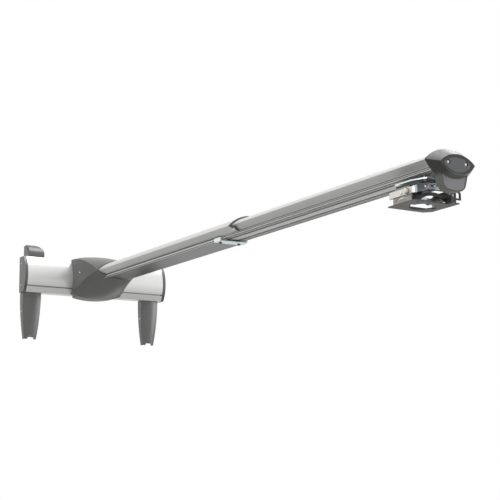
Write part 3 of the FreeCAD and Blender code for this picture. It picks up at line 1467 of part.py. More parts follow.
doc.recompute()
for item in doc.Objects:
    if "Invalid" in item.State or "Error" in item.State:
        raise RuntimeError("%s failed: %s" % (item.Label, item.State))
shapes = {}
for node in NODES:
    shape = doc.getObjectsByLabel(node)[0].Shape
    if shape.isNull() or not shape.isValid() or not shape.Solids:
        raise RuntimeError("%s has no valid solid" % node)
    shapes[node] = shape
os.makedirs("parts", exist_ok=True)
for node, shape in shapes.items():
    shape.exportStep("parts/%s.step" % node)
    print("%-20s %2d solids %10.0f mm3" % (node, len(shape.Solids), shape.Volume))
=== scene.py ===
"""Finishes the projector wall mount: castings, extrusions, swivel head, small parts and stage."""
import json
import math

import bpy
from bpy.props import FloatProperty, FloatVectorProperty, PointerProperty
from bpy.types import Operator, Panel, PropertyGroup
from mathutils import Matrix, Vector

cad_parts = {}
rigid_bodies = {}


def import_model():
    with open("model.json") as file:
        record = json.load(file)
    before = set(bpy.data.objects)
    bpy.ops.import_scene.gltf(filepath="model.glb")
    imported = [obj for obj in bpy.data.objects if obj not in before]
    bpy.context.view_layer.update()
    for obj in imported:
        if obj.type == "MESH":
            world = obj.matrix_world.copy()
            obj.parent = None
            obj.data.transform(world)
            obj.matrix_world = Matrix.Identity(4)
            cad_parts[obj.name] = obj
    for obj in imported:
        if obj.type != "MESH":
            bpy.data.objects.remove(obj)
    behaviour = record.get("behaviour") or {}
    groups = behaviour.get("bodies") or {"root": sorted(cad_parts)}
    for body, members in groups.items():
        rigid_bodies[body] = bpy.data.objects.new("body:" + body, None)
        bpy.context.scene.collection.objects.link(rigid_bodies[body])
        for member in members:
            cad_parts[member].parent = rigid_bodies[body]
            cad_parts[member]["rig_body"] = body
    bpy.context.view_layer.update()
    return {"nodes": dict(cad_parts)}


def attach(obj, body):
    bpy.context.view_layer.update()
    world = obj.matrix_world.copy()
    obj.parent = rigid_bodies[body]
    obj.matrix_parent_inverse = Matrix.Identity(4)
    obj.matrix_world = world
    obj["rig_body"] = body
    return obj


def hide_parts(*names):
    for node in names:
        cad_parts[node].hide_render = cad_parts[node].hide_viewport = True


bl_info = {
    "name": "Projector wall mount",
    "version": (1, 0, 0),
    "blender": (4, 5, 0),
    "location": "View3D > Sidebar > Wall Mount",
    "description": "Castings, extrusions, swivel head and small parts of a projector wall mount",
    "category": "Object",
}

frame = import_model()
SOLIDS = frame["nodes"]
MILLIMETRE = 0.001

# Ends the names of the script's own materials and pieces. The frame's preview materials bear
# the slots' plain names.
FINISHED = "_finished"


# Shader maths

# Painted shade, laid into grooves, slots and inner corners
CREVICE_SHADE = (0.018, 0.017, 0.016, 1)
WHITE = (1, 1, 1, 1)


def times(colour, factor):
    """A colour with alpha, its parts multiplied by a factor."""
    return tuple(min(1.0, part * factor) for part in colour) + (1,)


class Signal:
    """One output of a shader node. Plus, minus and times on it add Math nodes."""

    def __init__(self, shading, socket):
        self.shading = shading
        self.socket = socket

    def __getitem__(self, output):
        return Signal(self.shading, self.socket.node.outputs[output])

    def __add__(self, other):
        return self.shading.maths("ADD", self, other)

    def __sub__(self, other):
        return self.shading.maths("SUBTRACT", self, other)

    def __rsub__(self, other):
        return self.shading.maths("SUBTRACT", other, self)

    def __mul__(self, other):
        return self.shading.maths("MULTIPLY", self, other)

    __radd__ = __add__
    __rmul__ = __mul__

    def between(self, low, high):
        """Runs from 0 to 1 while the signal runs from low to high."""
        return self.shading.add("ShaderNodeMapRange",
                                {"Value": self, "From Min": low, "From Max": high},
                                interpolation_type="SMOOTHSTEP")


class Shading:
    """The node tree of a material or a world in the making."""

    def __init__(self, owner):
        owner.use_nodes = True
        self.tree = owner.node_tree
        self.tree.nodes.clear()

    def add(self, kind, sockets=None, **settings):
        """A node of one kind: its settings come first, then the values or links of its sockets."""
        node = self.tree.nodes.new(kind)
        for key, value in settings.items():
            setattr(node, key, value)
        for key, value in (sockets or {}).items():
            if isinstance(value, Signal):
                self.tree.links.new(value.socket, node.inputs[key])
            else:
                node.inputs[key].default_value = value
        outputs = [output for output in node.outputs if output.enabled]
        return Signal(self, outputs[0]) if outputs else None

    def maths(self, operation, *terms):
        """A Math node on signals or numbers."""
        return self.add("ShaderNodeMath", dict(enumerate(terms)), operation=operation)

    def seen(self):
        """The path of the light, and 1 where the camera looks straight or by reflection."""
        path = self.add("ShaderNodeLightPath")
        return path, self.maths("MAXIMUM", path["Is Camera Ray"], path["Is Glossy Ray"])


class Finish(Shading):
    """A material in the making: its nodes, and what feeds its surface."""

    def __init__(self, name):
        self.material = bpy.data.materials.new(name + FINISHED)
        super().__init__(self.material)
        self.place = self.add("ShaderNodeTexCoord")["Object"]

    def axis(self, name):
        """One of the object's own coordinates."""
        return self.add("ShaderNodeSeparateXYZ", {0: self.place})[name]

    def grain(self, scale, stretch, detail):
        """Soft noise on the object's own coordinates, drawn out where stretch is small."""
        placed = self.add("ShaderNodeMapping", {"Vector": self.place, "Scale": stretch})
        return self.add("ShaderNodeTexNoise", {"Vector": placed, "Scale": scale, "Detail": detail})

    def mix(self, first, second, factor):
        """One colour laid over another."""
        return self.add("ShaderNodeMix", {0: factor, 6: first, 7: second}, data_type="RGBA")

    def shade(self, colour, tone, amount):
        """The colour, darker and lighter by amount as tone runs from 0 to 1."""
        return self.mix(times(colour, 1 - amount), times(colour, 1 + amount), tone)

    def relief(self, height, strength, distance):
        """A bump of the height signal."""
        return self.add("ShaderNodeBump",
                        {"Height": height, "Strength": strength, "Distance": distance})

    def edge_mask(self, radius):
        """Bright where the surface turns over an edge, dark on flats."""
        rounded = self.add("ShaderNodeBevel", {"Radius": radius}, samples=4)
        facing = self.add("ShaderNodeNewGeometry")["Normal"]
        alike = self.add("ShaderNodeVectorMath", {0: rounded, 1: facing}, operation="DOT_PRODUCT")
        return (1 - alike["Value"]).between(0.01, 0.12)

    def crevice_shade_mask(self, reach):
        """Bright deep in the piece's own grooves, slots and inner corners: the mask of painted
        shade.
        """
        openness = self.add("ShaderNodeAmbientOcclusion", {"Distance": reach},
                            samples=12, only_local=True)
        return (1 - openness["AO"]).between(0.12, 0.55)

    def shaded_in_crevices(self, base, reach, amount):
        """The colour with painted shade laid into its crevices."""
        return self.mix(base, CREVICE_SHADE, self.crevice_shade_mask(reach) * amount)

    def surface(self, **inputs):
        """Closes the material with one principled shader."""
        sockets = {key.replace("_", " ").title().replace("Ior", "IOR"): value
                   for key, value in inputs.items()}
        shader = self.add("ShaderNodeBsdfPrincipled", sockets)
        self.add("ShaderNodeOutputMaterial", {"Surface": shader})


# Finishes

ALONG_RAIL = (0.004, 1, 1)
ALONG_ARM = (1, 0.004, 1)
WIPED_ALONG = (1, 0.06, 1)
EVERY_WAY = (1, 1, 1)

# Where the photo shows a change of tone: from and to, in metres on the frame's axes. On the head
# cap and the underside cover the change is painted light.
CAP_PAINTED_LIGHT_HEIGHTS = (0.014, 0.028)
UNDERSIDE_PAINTED_LIGHT_REACH = (-0.72, -0.22)
CHEEK_SIDE = (-0.0558, -0.0530)

# How many times paler the painted light makes it there
CAP_PAINTED_LIGHT = 3.0
UNDERSIDE_PAINTED_LIGHT = 4.2


def extrusion(name, colour, along, metallic, roughness, crevice_darkness):
    """Clear anodised aluminium: die lines along its length, bands, scuffs, and painted shade in its
    grooves.
    """
    finish = Finish(name)
    lines = finish.grain(900, along, detail=2.0)
    bands = finish.grain(60, along, detail=1.0)
    scuffs = finish.grain(14, EVERY_WAY, detail=5.0).between(0.60, 0.78)
    metal = finish.shade(colour, lines * 0.45 + bands * 0.55, amount=0.10)
    # The base colour carries painted shade in the grooves.
    finish.surface(
        base_color=finish.shaded_in_crevices(metal, reach=6 * MILLIMETRE, amount=crevice_darkness),
        metallic=metallic,
        roughness=lines * 0.10 + bands * 0.06 + scuffs * 0.08 + roughness,
        normal=finish.relief(lines, strength=0.10, distance=0.2 * MILLIMETRE))


def castpaint(name, colour, worn, roughness, pitch, depth, specular=0.45, gloss=0.0,
              painted_light_below=None):
    """Powder paint: orange-peel skin, blotches, worn edges, painted shade in its hollows, and a
    painted reflection below a height if asked.
    """
    finish = Finish(name)
    skin = finish.grain(pitch, EVERY_WAY, detail=2.0)
    blotch = finish.grain(9, EVERY_WAY, detail=3.0)
    chips = finish.grain(70, EVERY_WAY, detail=4.0).between(0.35, 0.65)
    wear = finish.edge_mask(radius=1.2 * MILLIMETRE) * chips
    painted = finish.shade(colour, blotch * 0.6 + skin * 0.4, amount=0.12)
    # Painted reflection: the colour paler below a height.
    if painted_light_below:
        lower = 1 - finish.axis("Z").between(*painted_light_below)
        painted = finish.mix(painted, times(colour, CAP_PAINTED_LIGHT), lower)
    rubbed = finish.mix(painted, times(worn, 1), wear * 0.55)
    # The base colour carries painted shade in the hollows.
    finish.surface(
        base_color=finish.shaded_in_crevices(rubbed, reach=5 * MILLIMETRE, amount=0.7),
        roughness=skin * 0.14 + blotch * 0.06 + roughness - wear * 0.08,
        specular_ior_level=specular,
        coat_weight=gloss,
        coat_roughness=0.16,
        normal=finish.relief(skin, strength=depth, distance=0.4 * MILLIMETRE))


def moulded(name, colour, roughness, pitch, depth, specular=0.4, painted_light_towards=None):
    """Moulded plastic: spark-eroded grain, slow tones, and painted light, paler along the arm, if
    asked.
    """
    finish = Finish(name)
    pebbles = finish.add("ShaderNodeTexVoronoi",
                         {"Vector": finish.place, "Scale": pitch, "Smoothness": 0.6},
                         feature="SMOOTH_F1")
    slow = finish.grain(12, EVERY_WAY, detail=2.0)
    base = finish.shade(colour, slow * 0.7 + pebbles * 0.3, amount=0.10)
    if painted_light_towards:
        # Painted light: paler towards the arm's outer end.
        outer = 1 - finish.axis("Y").between(*painted_light_towards)
        base = finish.mix(base, times(colour, UNDERSIDE_PAINTED_LIGHT), outer)
    finish.surface(
        base_color=base,
        roughness=pebbles * 0.12 + slow * 0.08 + roughness,
        specular_ior_level=specular,
        normal=finish.relief(pebbles, strength=depth, distance=0.3 * MILLIMETRE))


def plated(name, colour, roughness, spangle, left_colour=None):
    """Zinc or nickel plate: crystals, stains, wiping lines, and a second tint if asked."""
    finish = Finish(name)
    crystals = finish.add("ShaderNodeTexVoronoi", {"Vector": finish.place, "Scale": spangle},
                          feature="F1")
    grey = finish.add("ShaderNodeRGBToBW", {"Color": crystals["Color"]})
    stains = finish.grain(45, EVERY_WAY, detail=4.0)
    wiped = finish.grain(420, WIPED_ALONG, detail=2.0)
    base = finish.shade(colour, grey * 0.5 + stains * 0.5, amount=0.14)
    if left_colour:
        base = finish.mix(times(left_colour, 1), base, finish.axis("X").between(*CHEEK_SIDE))
    finish.surface(
        base_color=base,
        metallic=1.0,
        roughness=grey * 0.08 + stains * 0.10 + wiped * 0.06 + roughness,
        normal=finish.relief(wiped + grey * 0.3, strength=0.12, distance=0.1 * MILLIMETRE))


def turned_steel(name, colour, roughness):
    """Bright turned steel: fine tool marks and dull patches."""
    finish = Finish(name)
    marks = finish.grain(1500, EVERY_WAY, detail=1.0)
    dull = finish.grain(160, EVERY_WAY, detail=3.0)
    finish.surface(
        base_color=finish.shade(colour, dull, amount=0.10),
        metallic=1.0,
        roughness=marks * 0.08 + dull * 0.10 + roughness,
        normal=finish.relief(marks, strength=0.08, distance=0.1 * MILLIMETRE))


def mix_finishes(colours):
    """Every finish of the mount, named after its slot or its look."""
    worn = colours.worn_edge
    # The last figure of each extrusion sets how much painted shade its grooves get.
    extrusion("rail_aluminium", colours.rail, ALONG_RAIL, metallic=0.50, roughness=0.24, crevice_darkness=0.45)
    extrusion("arm_aluminium", colours.arm, ALONG_ARM, metallic=0.28, roughness=0.34, crevice_darkness=0.95)
    castpaint("graphite_paint", colours.casting, worn, roughness=0.30, pitch=900, depth=0.18,
              specular=0.75)
    moulded("graphite_plastic", colours.cover, roughness=0.20, pitch=1400, depth=0.16, specular=0.9)
    # The underside cover is paler towards the arm's outer end: painted light.
    moulded("grey_plastic", colours.underside, roughness=0.28, pitch=1600, depth=0.05, specular=0.3,
            painted_light_towards=UNDERSIDE_PAINTED_LIGHT_REACH)
    # The head cap is paler below a height: a painted reflection.
    castpaint("dark_casting", colours.head, worn, roughness=0.30, pitch=1200, depth=0.06,
              specular=0.25, gloss=0.12, painted_light_below=CAP_PAINTED_LIGHT_HEIGHTS)
    # The eye panel and the shield share one grey; the shield's paler copy is painted light.
    moulded("panel_grey", colours.panel, roughness=0.48, pitch=1500, depth=0.08)
    moulded("shield_grey", colours.shield, roughness=0.44, pitch=1500, depth=0.08)
    moulded("nylon", colours.nylon, roughness=0.48, pitch=900, depth=0.10)
    plated("zinc_steel", colours.zinc, roughness=0.26, spangle=260)
    plated("nickel_steel", colours.nickel, roughness=0.22, spangle=500)
    plated("blue_zinc", colours.blue_zinc, roughness=0.22, spangle=320,
           left_colour=colours.warm_zinc)
    castpaint("dark_steel", colours.dark_steel, worn, roughness=0.34, pitch=1500, depth=0.10)
    castpaint("black_steel", colours.black, worn, roughness=0.34, pitch=1500, depth=0.10)
    turned_steel("knob_steel", colours.warm_zinc, roughness=0.30)
    castpaint("plate_paint", colours.plate, worn, roughness=0.40, pitch=1100, depth=0.12)
    turned_steel("bright_steel", colours.bright, roughness=0.16)


# Modelling

MERGE_DISTANCE = 0.004 * MILLIMETRE
FLAT_ANGLE = math.radians(0.6)
SHARP_ANGLE = math.radians(30)
SMOOTH_ANGLE = math.radians(32)
SIDE_BAND = 0.5 * MILLIMETRE
UPRIGHT = 0.999


def select_none():
    """Leaves edit mode with nothing selected."""
    if bpy.context.object and bpy.context.object.mode != "OBJECT":
        bpy.ops.object.mode_set(mode="OBJECT")
    bpy.ops.object.select_all(action="DESELECT")


def take(piece):
    """Makes a piece the only selected one, and the active one."""
    select_none()
    piece.select_set(True)
    bpy.context.view_layer.objects.active = piece


def edit(piece):
    """Opens a piece in edit mode with all of it selected."""
    take(piece)
    bpy.ops.object.mode_set(mode="EDIT")
    bpy.ops.mesh.select_all(action="SELECT")


def apply(piece, kind, **settings):
    """Adds a modifier, sets it and applies it."""
    take(piece)
    modifier = piece.modifiers.new(kind.title(), kind)
    for key, value in settings.items():
        setattr(modifier, key, value)
    bpy.ops.object.modifier_apply(modifier=modifier.name)


def copied(node):
    """A joined-up copy of one solid of the frame, with flat faces whole again."""
    source = SOLIDS[node]
    piece = source.copy()
    piece.data = source.data.copy()
    for key in [key for key in piece.keys() if key.startswith("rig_")]:
        del piece[key]
    piece.parent = None
    piece.matrix_world = Matrix.Identity(4)
    piece.name = piece.data.name = node + FINISHED
    bpy.context.scene.collection.objects.link(piece)
    take(piece)
    bpy.ops.mesh.customdata_custom_splitnormals_clear()
    edit(piece)
    bpy.ops.mesh.remove_doubles(threshold=MERGE_DISTANCE)
    bpy.ops.mesh.dissolve_limited(angle_limit=FLAT_ANGLE)
    bpy.ops.object.mode_set(mode="OBJECT")
    return piece


def pick(piece, wanted):
    """Opens a piece in edit mode, with the faces selected that pass a test."""
    edit(piece)
    bpy.ops.mesh.select_mode(type="FACE")
    bpy.ops.mesh.select_all(action="DESELECT")
    bpy.ops.object.mode_set(mode="OBJECT")
    for face in piece.data.polygons:
        face.select = wanted(face)
    bpy.ops.object.mode_set(mode="EDIT")


def sunk_line(piece, rise, height, depth):
    """Sinks a line along the outer upright faces of an arm section, rise above their foot."""
    sides = [face for face in piece.data.polygons if abs(face.normal.x) > UPRIGHT]
    reach = max(abs(face.center.x) for face in sides) - SIDE_BAND

    def outer(face):
        return abs(face.normal.x) > UPRIGHT and abs(face.center.x) > reach

    foot = min(piece.data.vertices[corner].co.z for face in sides if outer(face)
               for corner in face.vertices)
    low = foot + rise
    high = low + height
    for level in (low, high):
        pick(piece, outer)
        bpy.ops.mesh.bisect(plane_co=(0, 0, level), plane_no=(0, 0, 1))
    pick(piece, lambda face: outer(face) and low < face.center.z < high)
    bpy.ops.mesh.extrude_region_shrink_fatten(TRANSFORM_OT_shrink_fatten={"value": -depth})
    bpy.ops.object.mode_set(mode="OBJECT")
    return piece


def settle(piece, slot, look, *nodes):
    """Paints a piece, lets it ride on its body and stand for its solids."""
    take(piece)
    piece.data.materials.clear()
    piece.data.materials.append(bpy.data.materials[(look or slot) + FINISHED])
    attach(piece, SOLIDS[nodes[0]]["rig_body"])
    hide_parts(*nodes)
    select_none()


def broken_edges(node, slot, width, segments=2, look=None, piece=None):
    """A copy of a solid with its edges broken by width, smoothed and settled in its place."""
    piece = piece or copied(node)
    apply(piece, "BEVEL", width=width, segments=segments, limit_method="ANGLE",
          angle_limit=SHARP_ANGLE, use_clamp_overlap=True, harden_normals=False)
    bpy.ops.object.shade_smooth_by_angle(angle=SMOOTH_ANGLE)
    apply(piece, "WEIGHTED_NORMAL", keep_sharp=True)
    settle(piece, slot, look, node)


# Values that a user would change

def colour_property(name, description, default):
    return FloatVectorProperty(name=name, description=description, default=default,
                               subtype="COLOR", size=3, min=0.0, max=1.0)


def length_property(name, description, default):
    return FloatProperty(name=name, description=description, default=default, min=0.0,
                         unit="LENGTH", precision=5)


def edge_property(name, description, millimetres):
    return length_property(name, description, millimetres * MILLIMETRE)


def power_property(name, description, default):
    return FloatProperty(name=name, description=description, default=default, unit="POWER")


def angle_property(name, description, degrees):
    return FloatProperty(name=name, description=description, default=math.radians(degrees),
                         subtype="ANGLE")


class MountColours(PropertyGroup):
    """Colours of the mount's finishes."""
    rail: colour_property("Rail", "Anodised wall rail", (0.78, 0.78, 0.775))
    arm: colour_property("Arm", "Anodised arm sections", (0.72, 0.72, 0.705))
    casting: colour_property("Hub casting", "Graphite paint of the hub", (0.130, 0.130, 0.127))
    cover: colour_property("Covers", "Graphite plastic of covers, rail end caps and end ring",
                           (0.094, 0.093, 0.091))
    # Its outer end is made paler by painted light.
    underside: colour_property("Underside cover", "Dark end of the plastic strip under the sleeve",
                               (0.062, 0.063, 0.063))
    head: colour_property("Head cap", "Dark paint of the head cap", (0.058, 0.057, 0.055))
    panel: colour_property("Panel", "Round front panel of the head", (0.185, 0.189, 0.200))
    # The panel's grey, made paler on the shield: painted light.
    shield: colour_property("Shield", "Lower front panel of the head", (0.42, 0.425, 0.44))
    nylon: colour_property("Nylon", "Glides and end shoe", (0.62, 0.61, 0.58))
    zinc: colour_property("Zinc", "Zinc plated plates and rail bolts", (0.82, 0.94, 1.0))
    nickel: colour_property("Nickel", "Nickel plated tilt bracket, spacers and nuts",
                            (0.30, 0.29, 0.27))
    blue_zinc: colour_property("Blue zinc", "Cradle of the swivel head", (0.50, 0.55, 0.62))
    warm_zinc: colour_property("Warm zinc", "Left cheek of the cradle, and tilt knob",
                               (0.70, 0.68, 0.64))
    # On the guide screws this dark is painted shade.
    dark_steel: colour_property("Dark steel", "Yaw bracket and guide screws", (0.055, 0.055, 0.060))
    black: colour_property("Black", "Lock frame and lever", (0.022, 0.022, 0.024))
    plate: colour_property("Interface plate", "Paint of the projector plate", (0.14, 0.136, 0.125))
    bright: colour_property("Bright steel", "Screws and pins", (0.80, 0.80, 0.79))
    worn_edge: colour_property("Worn edge", "Where paint thins over an edge", (0.30, 0.30, 0.31))


class MountSizes(PropertyGroup):
    """Edge breaks of the mount's pieces, and the line sunk into the sleeve."""
    casting_edge: edge_property("Casting edge", "Break of the hub casting's edges", 1.6)
    cover_edge: edge_property("Cover edge", "Break of the moulded covers' edges", 1.0)
    end_cap_edge: edge_property("End cap edge", "Break of the rail end caps' edges", 2.2)
    extrusion_edge: edge_property("Extrusion edge", "Break of the extruded sections' edges", 0.35)
    cap_edge: edge_property("Cap edge", "Break of the head cap's edges", 1.4)
    panel_edge: edge_property("Panel edge", "Break of panels, sleeve cover, end ring and shoe", 0.4)
    plate_edge: edge_property("Plate edge", "Break of pressed steel, glides and lever", 0.3)
    line_rise: edge_property("Line rise", "Height of the sunk line above the sleeve's foot", 0.9)
    line_height: edge_property("Line height", "Height of the line sunk into the sleeve", 1.8)
    line_depth: edge_property("Line depth", "Depth of the line sunk into the sleeve", 1.6)
    screw_edge: edge_property("Screw edge", "Break of screws, pins, nuts, spacers and knob", 0.2)


class MountStage(PropertyGroup):
    """Floor, lamps and camera."""
    floor_drop: length_property("Floor drop", "How far the floor lies below the origin", 2.6)
    floor_radius: length_property("Floor radius", "Radius of the round floor", 14.0)
    floor_colour: colour_property("Floor", "Pale floor", (0.80, 0.80, 0.80))
    floor_bounce: colour_property("Floor bounce", "Tone of the floor as light from below",
                                  (0.80, 0.80, 0.79))
    top_power: power_property("Top", "Power of the lamp overhead", 100.0)
    front_power: power_property("Front", "Power of the lamp in front, at the right", 52.0)
    rim_power: power_property("Rim", "Power of the lamp over the wall that lights the head", 34.0)
    side_power: power_property("Side", "Power of the lamp at the left", 42.0)
    ambient: FloatProperty(name="Ambient", description="World light on diffuse surfaces",
                           default=0.32, min=0.0)
    focal_length: FloatProperty(name="Lens", description="Focal length in millimetres",
                                default=90.0, min=1.0)
    heading: angle_property("Heading", "Camera heading from the arm's axis", 32.49)
    climb: angle_property("Climb", "Camera's upward tilt", 10.58)
    roll: angle_property("Roll", "Camera's roll", -0.77)
    station: FloatVectorProperty(name="Station", description="Where the camera stands",
                                 default=(-1.679, -3.592, -0.589), size=3, subtype="XYZ",
                                 unit="LENGTH")


# Pieces

class MOUNT_OT_finishes(Operator):
    """Mix every finish of the mount, named after its slot or its look"""
    bl_idname = "mount.finishes"
    bl_label = "Finishes"

    def execute(self, context):
        mix_finishes(context.scene.mount_colours)
        return {"FINISHED"}


class MOUNT_OT_wall_plates(Operator):
    """Finish the two wall plates and the bolts that hold the rail to them"""
    bl_idname = "mount.wall_plates"
    bl_label = "Wall plates"

    def execute(self, context):
        sizes = context.scene.mount_sizes
        for node in ("wall_plate_left", "wall_plate_right"):
            broken_edges(node, "zinc_steel", sizes.plate_edge)
        broken_edges("rail_bolts", "zinc_steel", sizes.screw_edge)
        return {"FINISHED"}


class MOUNT_OT_covers(Operator):
    """Finish the moulded covers over the wall plates, with their screws"""
    bl_idname = "mount.covers"
    bl_label = "Wall covers"

    def execute(self, context):
        sizes = context.scene.mount_sizes
        for side in ("left", "right"):
            for cover in ("upper_cover_", "lower_cover_"):
                broken_edges(cover + side, "graphite_plastic", sizes.cover_edge, segments=3)
        broken_edges("cover_screws", "bright_steel", sizes.screw_edge)
        return {"FINISHED"}


class MOUNT_OT_rail(Operator):
    """Finish the wall rail with its end caps and their screws"""
    bl_idname = "mount.rail"
    bl_label = "Wall rail"

    def execute(self, context):
        sizes = context.scene.mount_sizes
        broken_edges("rail", "rail_aluminium", sizes.extrusion_edge)
        for side in ("left", "right"):
            broken_edges("end_cap_" + side, "graphite_plastic", sizes.end_cap_edge, segments=4)
        broken_edges("end_cap_screws", "bright_steel", sizes.screw_edge)
        return {"FINISHED"}


class MOUNT_OT_hub(Operator):
    """Finish the cast hub with its glides and screws"""
    bl_idname = "mount.hub"
    bl_label = "Hub"

    def execute(self, context):
        sizes = context.scene.mount_sizes
        broken_edges("hub_casting", "graphite_paint", sizes.casting_edge, segments=3)
        broken_edges("rail_glides", "nylon", sizes.plate_edge)
        for node in ("hub_clamp_screws", "hub_side_screws"):
            broken_edges(node, "bright_steel", sizes.screw_edge)
        return {"FINISHED"}


class MOUNT_OT_sleeve(Operator):
    """Finish the sleeve with its underside cover, end ring, guide plate and lock screw"""
    bl_idname = "mount.sleeve"
    bl_label = "Sleeve"

    def execute(self, context):
        sizes = context.scene.mount_sizes
        sleeve = sunk_line(copied("sleeve"), sizes.line_rise, sizes.line_height, sizes.line_depth)
        broken_edges("sleeve", "arm_aluminium", sizes.extrusion_edge, piece=sleeve)
        broken_edges("sleeve_bottom_cover", "grey_plastic", sizes.panel_edge)
        broken_edges("sleeve_end_ring", "graphite_plastic", sizes.panel_edge, segments=3)
        broken_edges("guide_plate", "zinc_steel", sizes.plate_edge)
        # Bright steel screws in the yaw bracket's dark finish: painted shade.
        broken_edges("guide_screws", "bright_steel", sizes.screw_edge, look="dark_steel")
        broken_edges("arm_lock_screw", "bright_steel", sizes.screw_edge)
        return {"FINISHED"}


class MOUNT_OT_extension(Operator):
    """Finish the sliding section and its end shoe"""
    bl_idname = "mount.extension"
    bl_label = "Extension"

    def execute(self, context):
        sizes = context.scene.mount_sizes
        broken_edges("extension", "arm_aluminium", sizes.extrusion_edge)
        broken_edges("extension_shoe", "nylon", sizes.panel_edge)
        return {"FINISHED"}


class MOUNT_OT_head_cap(Operator):
    """Finish the cast head cap with its front panels and screws"""
    bl_idname = "mount.head_cap"
    bl_label = "Head cap"

    def execute(self, context):
        sizes = context.scene.mount_sizes
        broken_edges("head_cap", "dark_casting", sizes.cap_edge, segments=3)
        broken_edges("eye_panel", "panel_grey", sizes.panel_edge)
        # The shield wears a paler copy of the panel's grey: painted light.
        broken_edges("shield_panel", "panel_grey", sizes.panel_edge, look="shield_grey")
        broken_edges("head_screws", "bright_steel", sizes.screw_edge)
        return {"FINISHED"}


class MOUNT_OT_trolley(Operator):
    """Finish the trolley that hangs in the slots of the sliding section"""
    bl_idname = "mount.trolley"
    bl_label = "Trolley"

    def execute(self, context):
        sizes = context.scene.mount_sizes
        broken_edges("trolley_plate", "zinc_steel", sizes.plate_edge)
        for node, slot in (("trolley_spacers", "nickel_steel"), ("trolley_bolts", "bright_steel"),
                           ("trolley_nuts", "nickel_steel"), ("yaw_washer", "zinc_steel"),
                           ("yaw_bolt", "bright_steel"), ("yaw_nut", "nickel_steel")):
            broken_edges(node, slot, sizes.screw_edge)
        return {"FINISHED"}


class MOUNT_OT_swivel_head(Operator):
    """Finish the yaw bracket, roll cradle, tilt bracket and interface plate"""
    bl_idname = "mount.swivel_head"
    bl_label = "Swivel head"

    def execute(self, context):
        sizes = context.scene.mount_sizes
        for node, slot in (("yaw_bracket", "dark_steel"), ("roll_cradle", "blue_zinc"),
                           ("tilt_bracket", "nickel_steel"), ("interface_plate", "plate_paint")):
            broken_edges(node, slot, sizes.plate_edge)
        for node in ("roll_lock_screw", "roll_pins", "tilt_pins"):
            broken_edges(node, "bright_steel", sizes.screw_edge)
        return {"FINISHED"}


class MOUNT_OT_controls(Operator):
    """Finish the lock frame, its lever and the tilt knob"""
    bl_idname = "mount.controls"
    bl_label = "Controls"

    def execute(self, context):
        sizes = context.scene.mount_sizes
        for node in ("lock_frame", "lever_block", "lock_lever"):
            broken_edges(node, "black_steel", sizes.plate_edge)
        broken_edges("lever_pin", "bright_steel", sizes.screw_edge)
        broken_edges("tilt_knob", "black_knob", sizes.screw_edge, look="knob_steel")
        return {"FINISHED"}


# Stage

ARM_MIDDLE = (0, -0.9, 0.05)
HEAD = (0, -1.7, 0)

# Name, place, target and width of each lamp
LAMPS = (
    ("top", (0.7, -1.7, 3.7), ARM_MIDDLE, 2.4),
    ("front", (4.1, -3.1, 0.8), ARM_MIDDLE, 1.8),
    ("rim", (1.9, 0.1, 2.5), HEAD, 1.6),
    ("side", (-4.0, -2.4, 0.4), ARM_MIDDLE, 2.0),
)

# The floor fades to white between the squares of two distances from a point along the arm.
FADE = (9.0, 80.0)
FADE_OUT_ALONG_ARM = 0.8
FLOOR_CORNERS = 96
SENSOR_WIDTH = 36
CLIP_END = 200


def plain_floor(stage):
    """A pale round floor that keeps the mount's shadow and fades to white far out."""
    select_none()
    bpy.ops.mesh.primitive_circle_add(vertices=FLOOR_CORNERS, radius=stage.floor_radius,
                                      fill_type="NGON", location=(0, 0, -stage.floor_drop))
    floor = bpy.context.object
    floor.name = "floor"
    bpy.ops.object.transform_apply(location=True)
    edit(floor)
    bpy.ops.mesh.inset(thickness=stage.floor_radius / 2)
    bpy.ops.object.mode_set(mode="OBJECT")
    finish = Finish("pale_floor")
    across, along = finish.axis("X"), finish.axis("Y") + FADE_OUT_ALONG_ARM
    far = (across * across + along * along).between(*FADE)
    speckle = finish.grain(35, EVERY_WAY, detail=4.0)
    path, seen = finish.seen()
    pale = finish.shade(stage.floor_colour, speckle, amount=0.02)
    shown = finish.mix(times(stage.floor_bounce, 1), pale, path["Is Camera Ray"])
    ground = finish.add("ShaderNodeBsdfDiffuse", {"Color": shown})
    glow = finish.add("ShaderNodeEmission", {"Color": WHITE, "Strength": 1.0})
    blended = finish.add("ShaderNodeMixShader", {0: far * seen, 1: ground, 2: glow})
    finish.add("ShaderNodeOutputMaterial", {"Surface": blended})
    floor.data.materials.append(finish.material)


def white_world(stage):
    """White to the camera, in reflections and through glass, dimmer as light on the mount."""
    world = bpy.data.worlds.new("studio")
    bpy.context.scene.world = world
    sky = Shading(world)
    path, seen = sky.seen()
    clear = sky.maths("MAXIMUM", seen, path["Is Transmission Ray"])
    light = sky.add("ShaderNodeBackground", {"Strength": stage.ambient})
    white = sky.add("ShaderNodeBackground", {"Strength": 1.0, "Color": WHITE})
    blend = sky.add("ShaderNodeMixShader", {0: clear, 1: light, 2: white})
    sky.add("ShaderNodeOutputWorld", {"Surface": blend})


def area_lamp(name, place, target, size, power):
    """A square soft box that looks at a target."""
    lamp = bpy.data.lights.new(name, "AREA")
    lamp.energy = power
    lamp.size = size
    holder = bpy.data.objects.new(name, lamp)
    bpy.context.scene.collection.objects.link(holder)
    holder.location = place
    aim = Vector(target) - Vector(place)
    holder.rotation_euler = aim.to_track_quat("-Z", "Y").to_euler()


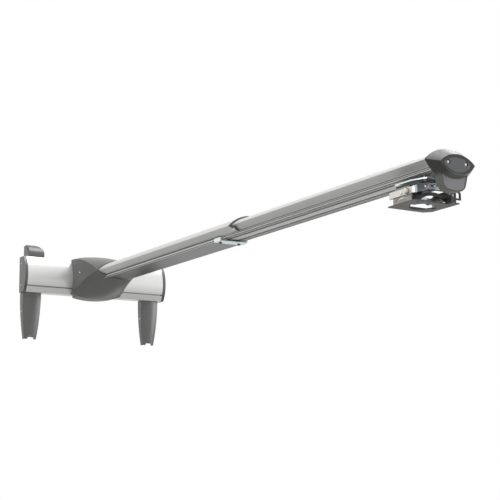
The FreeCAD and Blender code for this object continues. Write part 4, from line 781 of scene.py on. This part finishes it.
def photo_camera(stage):
    """The camera where the photograph was taken from."""
    heading, climb, roll = stage.heading, stage.climb, stage.roll
    forward = Vector((math.sin(heading) * math.cos(climb), math.cos(heading) * math.cos(climb),
                      math.sin(climb)))
    level = Vector((math.cos(heading), -math.sin(heading), 0))
    above = level.cross(forward)
    right = level * math.cos(roll) + above * math.sin(roll)
    up = above * math.cos(roll) - level * math.sin(roll)
    lens = bpy.data.cameras.new("camera")
    lens.lens = stage.focal_length
    lens.sensor_width = SENSOR_WIDTH
    lens.clip_end = CLIP_END
    camera = bpy.data.objects.new("camera", lens)
    bpy.context.scene.collection.objects.link(camera)
    turn = Matrix((right, up, -forward)).transposed()
    camera.matrix_world = Matrix.Translation(Vector(stage.station)) @ turn.to_4x4()
    bpy.context.scene.camera = camera


class MOUNT_OT_stage(Operator):
    """Set up the floor, the white world, the lamps and the camera"""
    bl_idname = "mount.stage"
    bl_label = "Stage"

    def execute(self, context):
        stage = context.scene.mount_stage
        context.scene.view_settings.view_transform = "Standard"
        plain_floor(stage)
        white_world(stage)
        for name, place, target, size in LAMPS:
            area_lamp(name, place, target, size, getattr(stage, name + "_power"))
        photo_camera(stage)
        return {"FINISHED"}


# Panel and registration

# The finishes come before the pieces that wear them.
STEPS = (MOUNT_OT_finishes, MOUNT_OT_stage, MOUNT_OT_wall_plates, MOUNT_OT_covers, MOUNT_OT_rail,
         MOUNT_OT_hub, MOUNT_OT_sleeve, MOUNT_OT_extension, MOUNT_OT_head_cap, MOUNT_OT_trolley,
         MOUNT_OT_swivel_head, MOUNT_OT_controls)


class MOUNT_PT_sidebar(Panel):
    """Lists the mount's steps and values"""
    bl_idname = "MOUNT_PT_sidebar"
    bl_label = "Projector wall mount"
    bl_space_type = "VIEW_3D"
    bl_region_type = "UI"
    bl_category = "Wall Mount"

    def draw(self, context):
        column = self.layout.column(align=True)
        for step in STEPS:
            column.operator(step.bl_idname)
        scene = context.scene
        for group in (scene.mount_sizes, scene.mount_colours, scene.mount_stage):
            box = self.layout.box()
            for key in group.bl_rna.properties.keys():
                if key not in ("rna_type", "name"):
                    box.prop(group, key)


GROUPS = {"mount_colours": MountColours, "mount_sizes": MountSizes, "mount_stage": MountStage}
CLASSES = tuple(GROUPS.values()) + STEPS + (MOUNT_PT_sidebar,)


def register():
    for entry in CLASSES:
        bpy.utils.register_class(entry)
    for key, group in GROUPS.items():
        setattr(bpy.types.Scene, key, PointerProperty(type=group))


def unregister():
    for key in GROUPS:
        delattr(bpy.types.Scene, key)
    for entry in reversed(CLASSES):
        bpy.utils.unregister_class(entry)


def main():
    register()
    for step in STEPS:
        group, name = step.bl_idname.split(".")
        getattr(getattr(bpy.ops, group), name)()
    select_none()


if __name__ == "__main__":
    main()
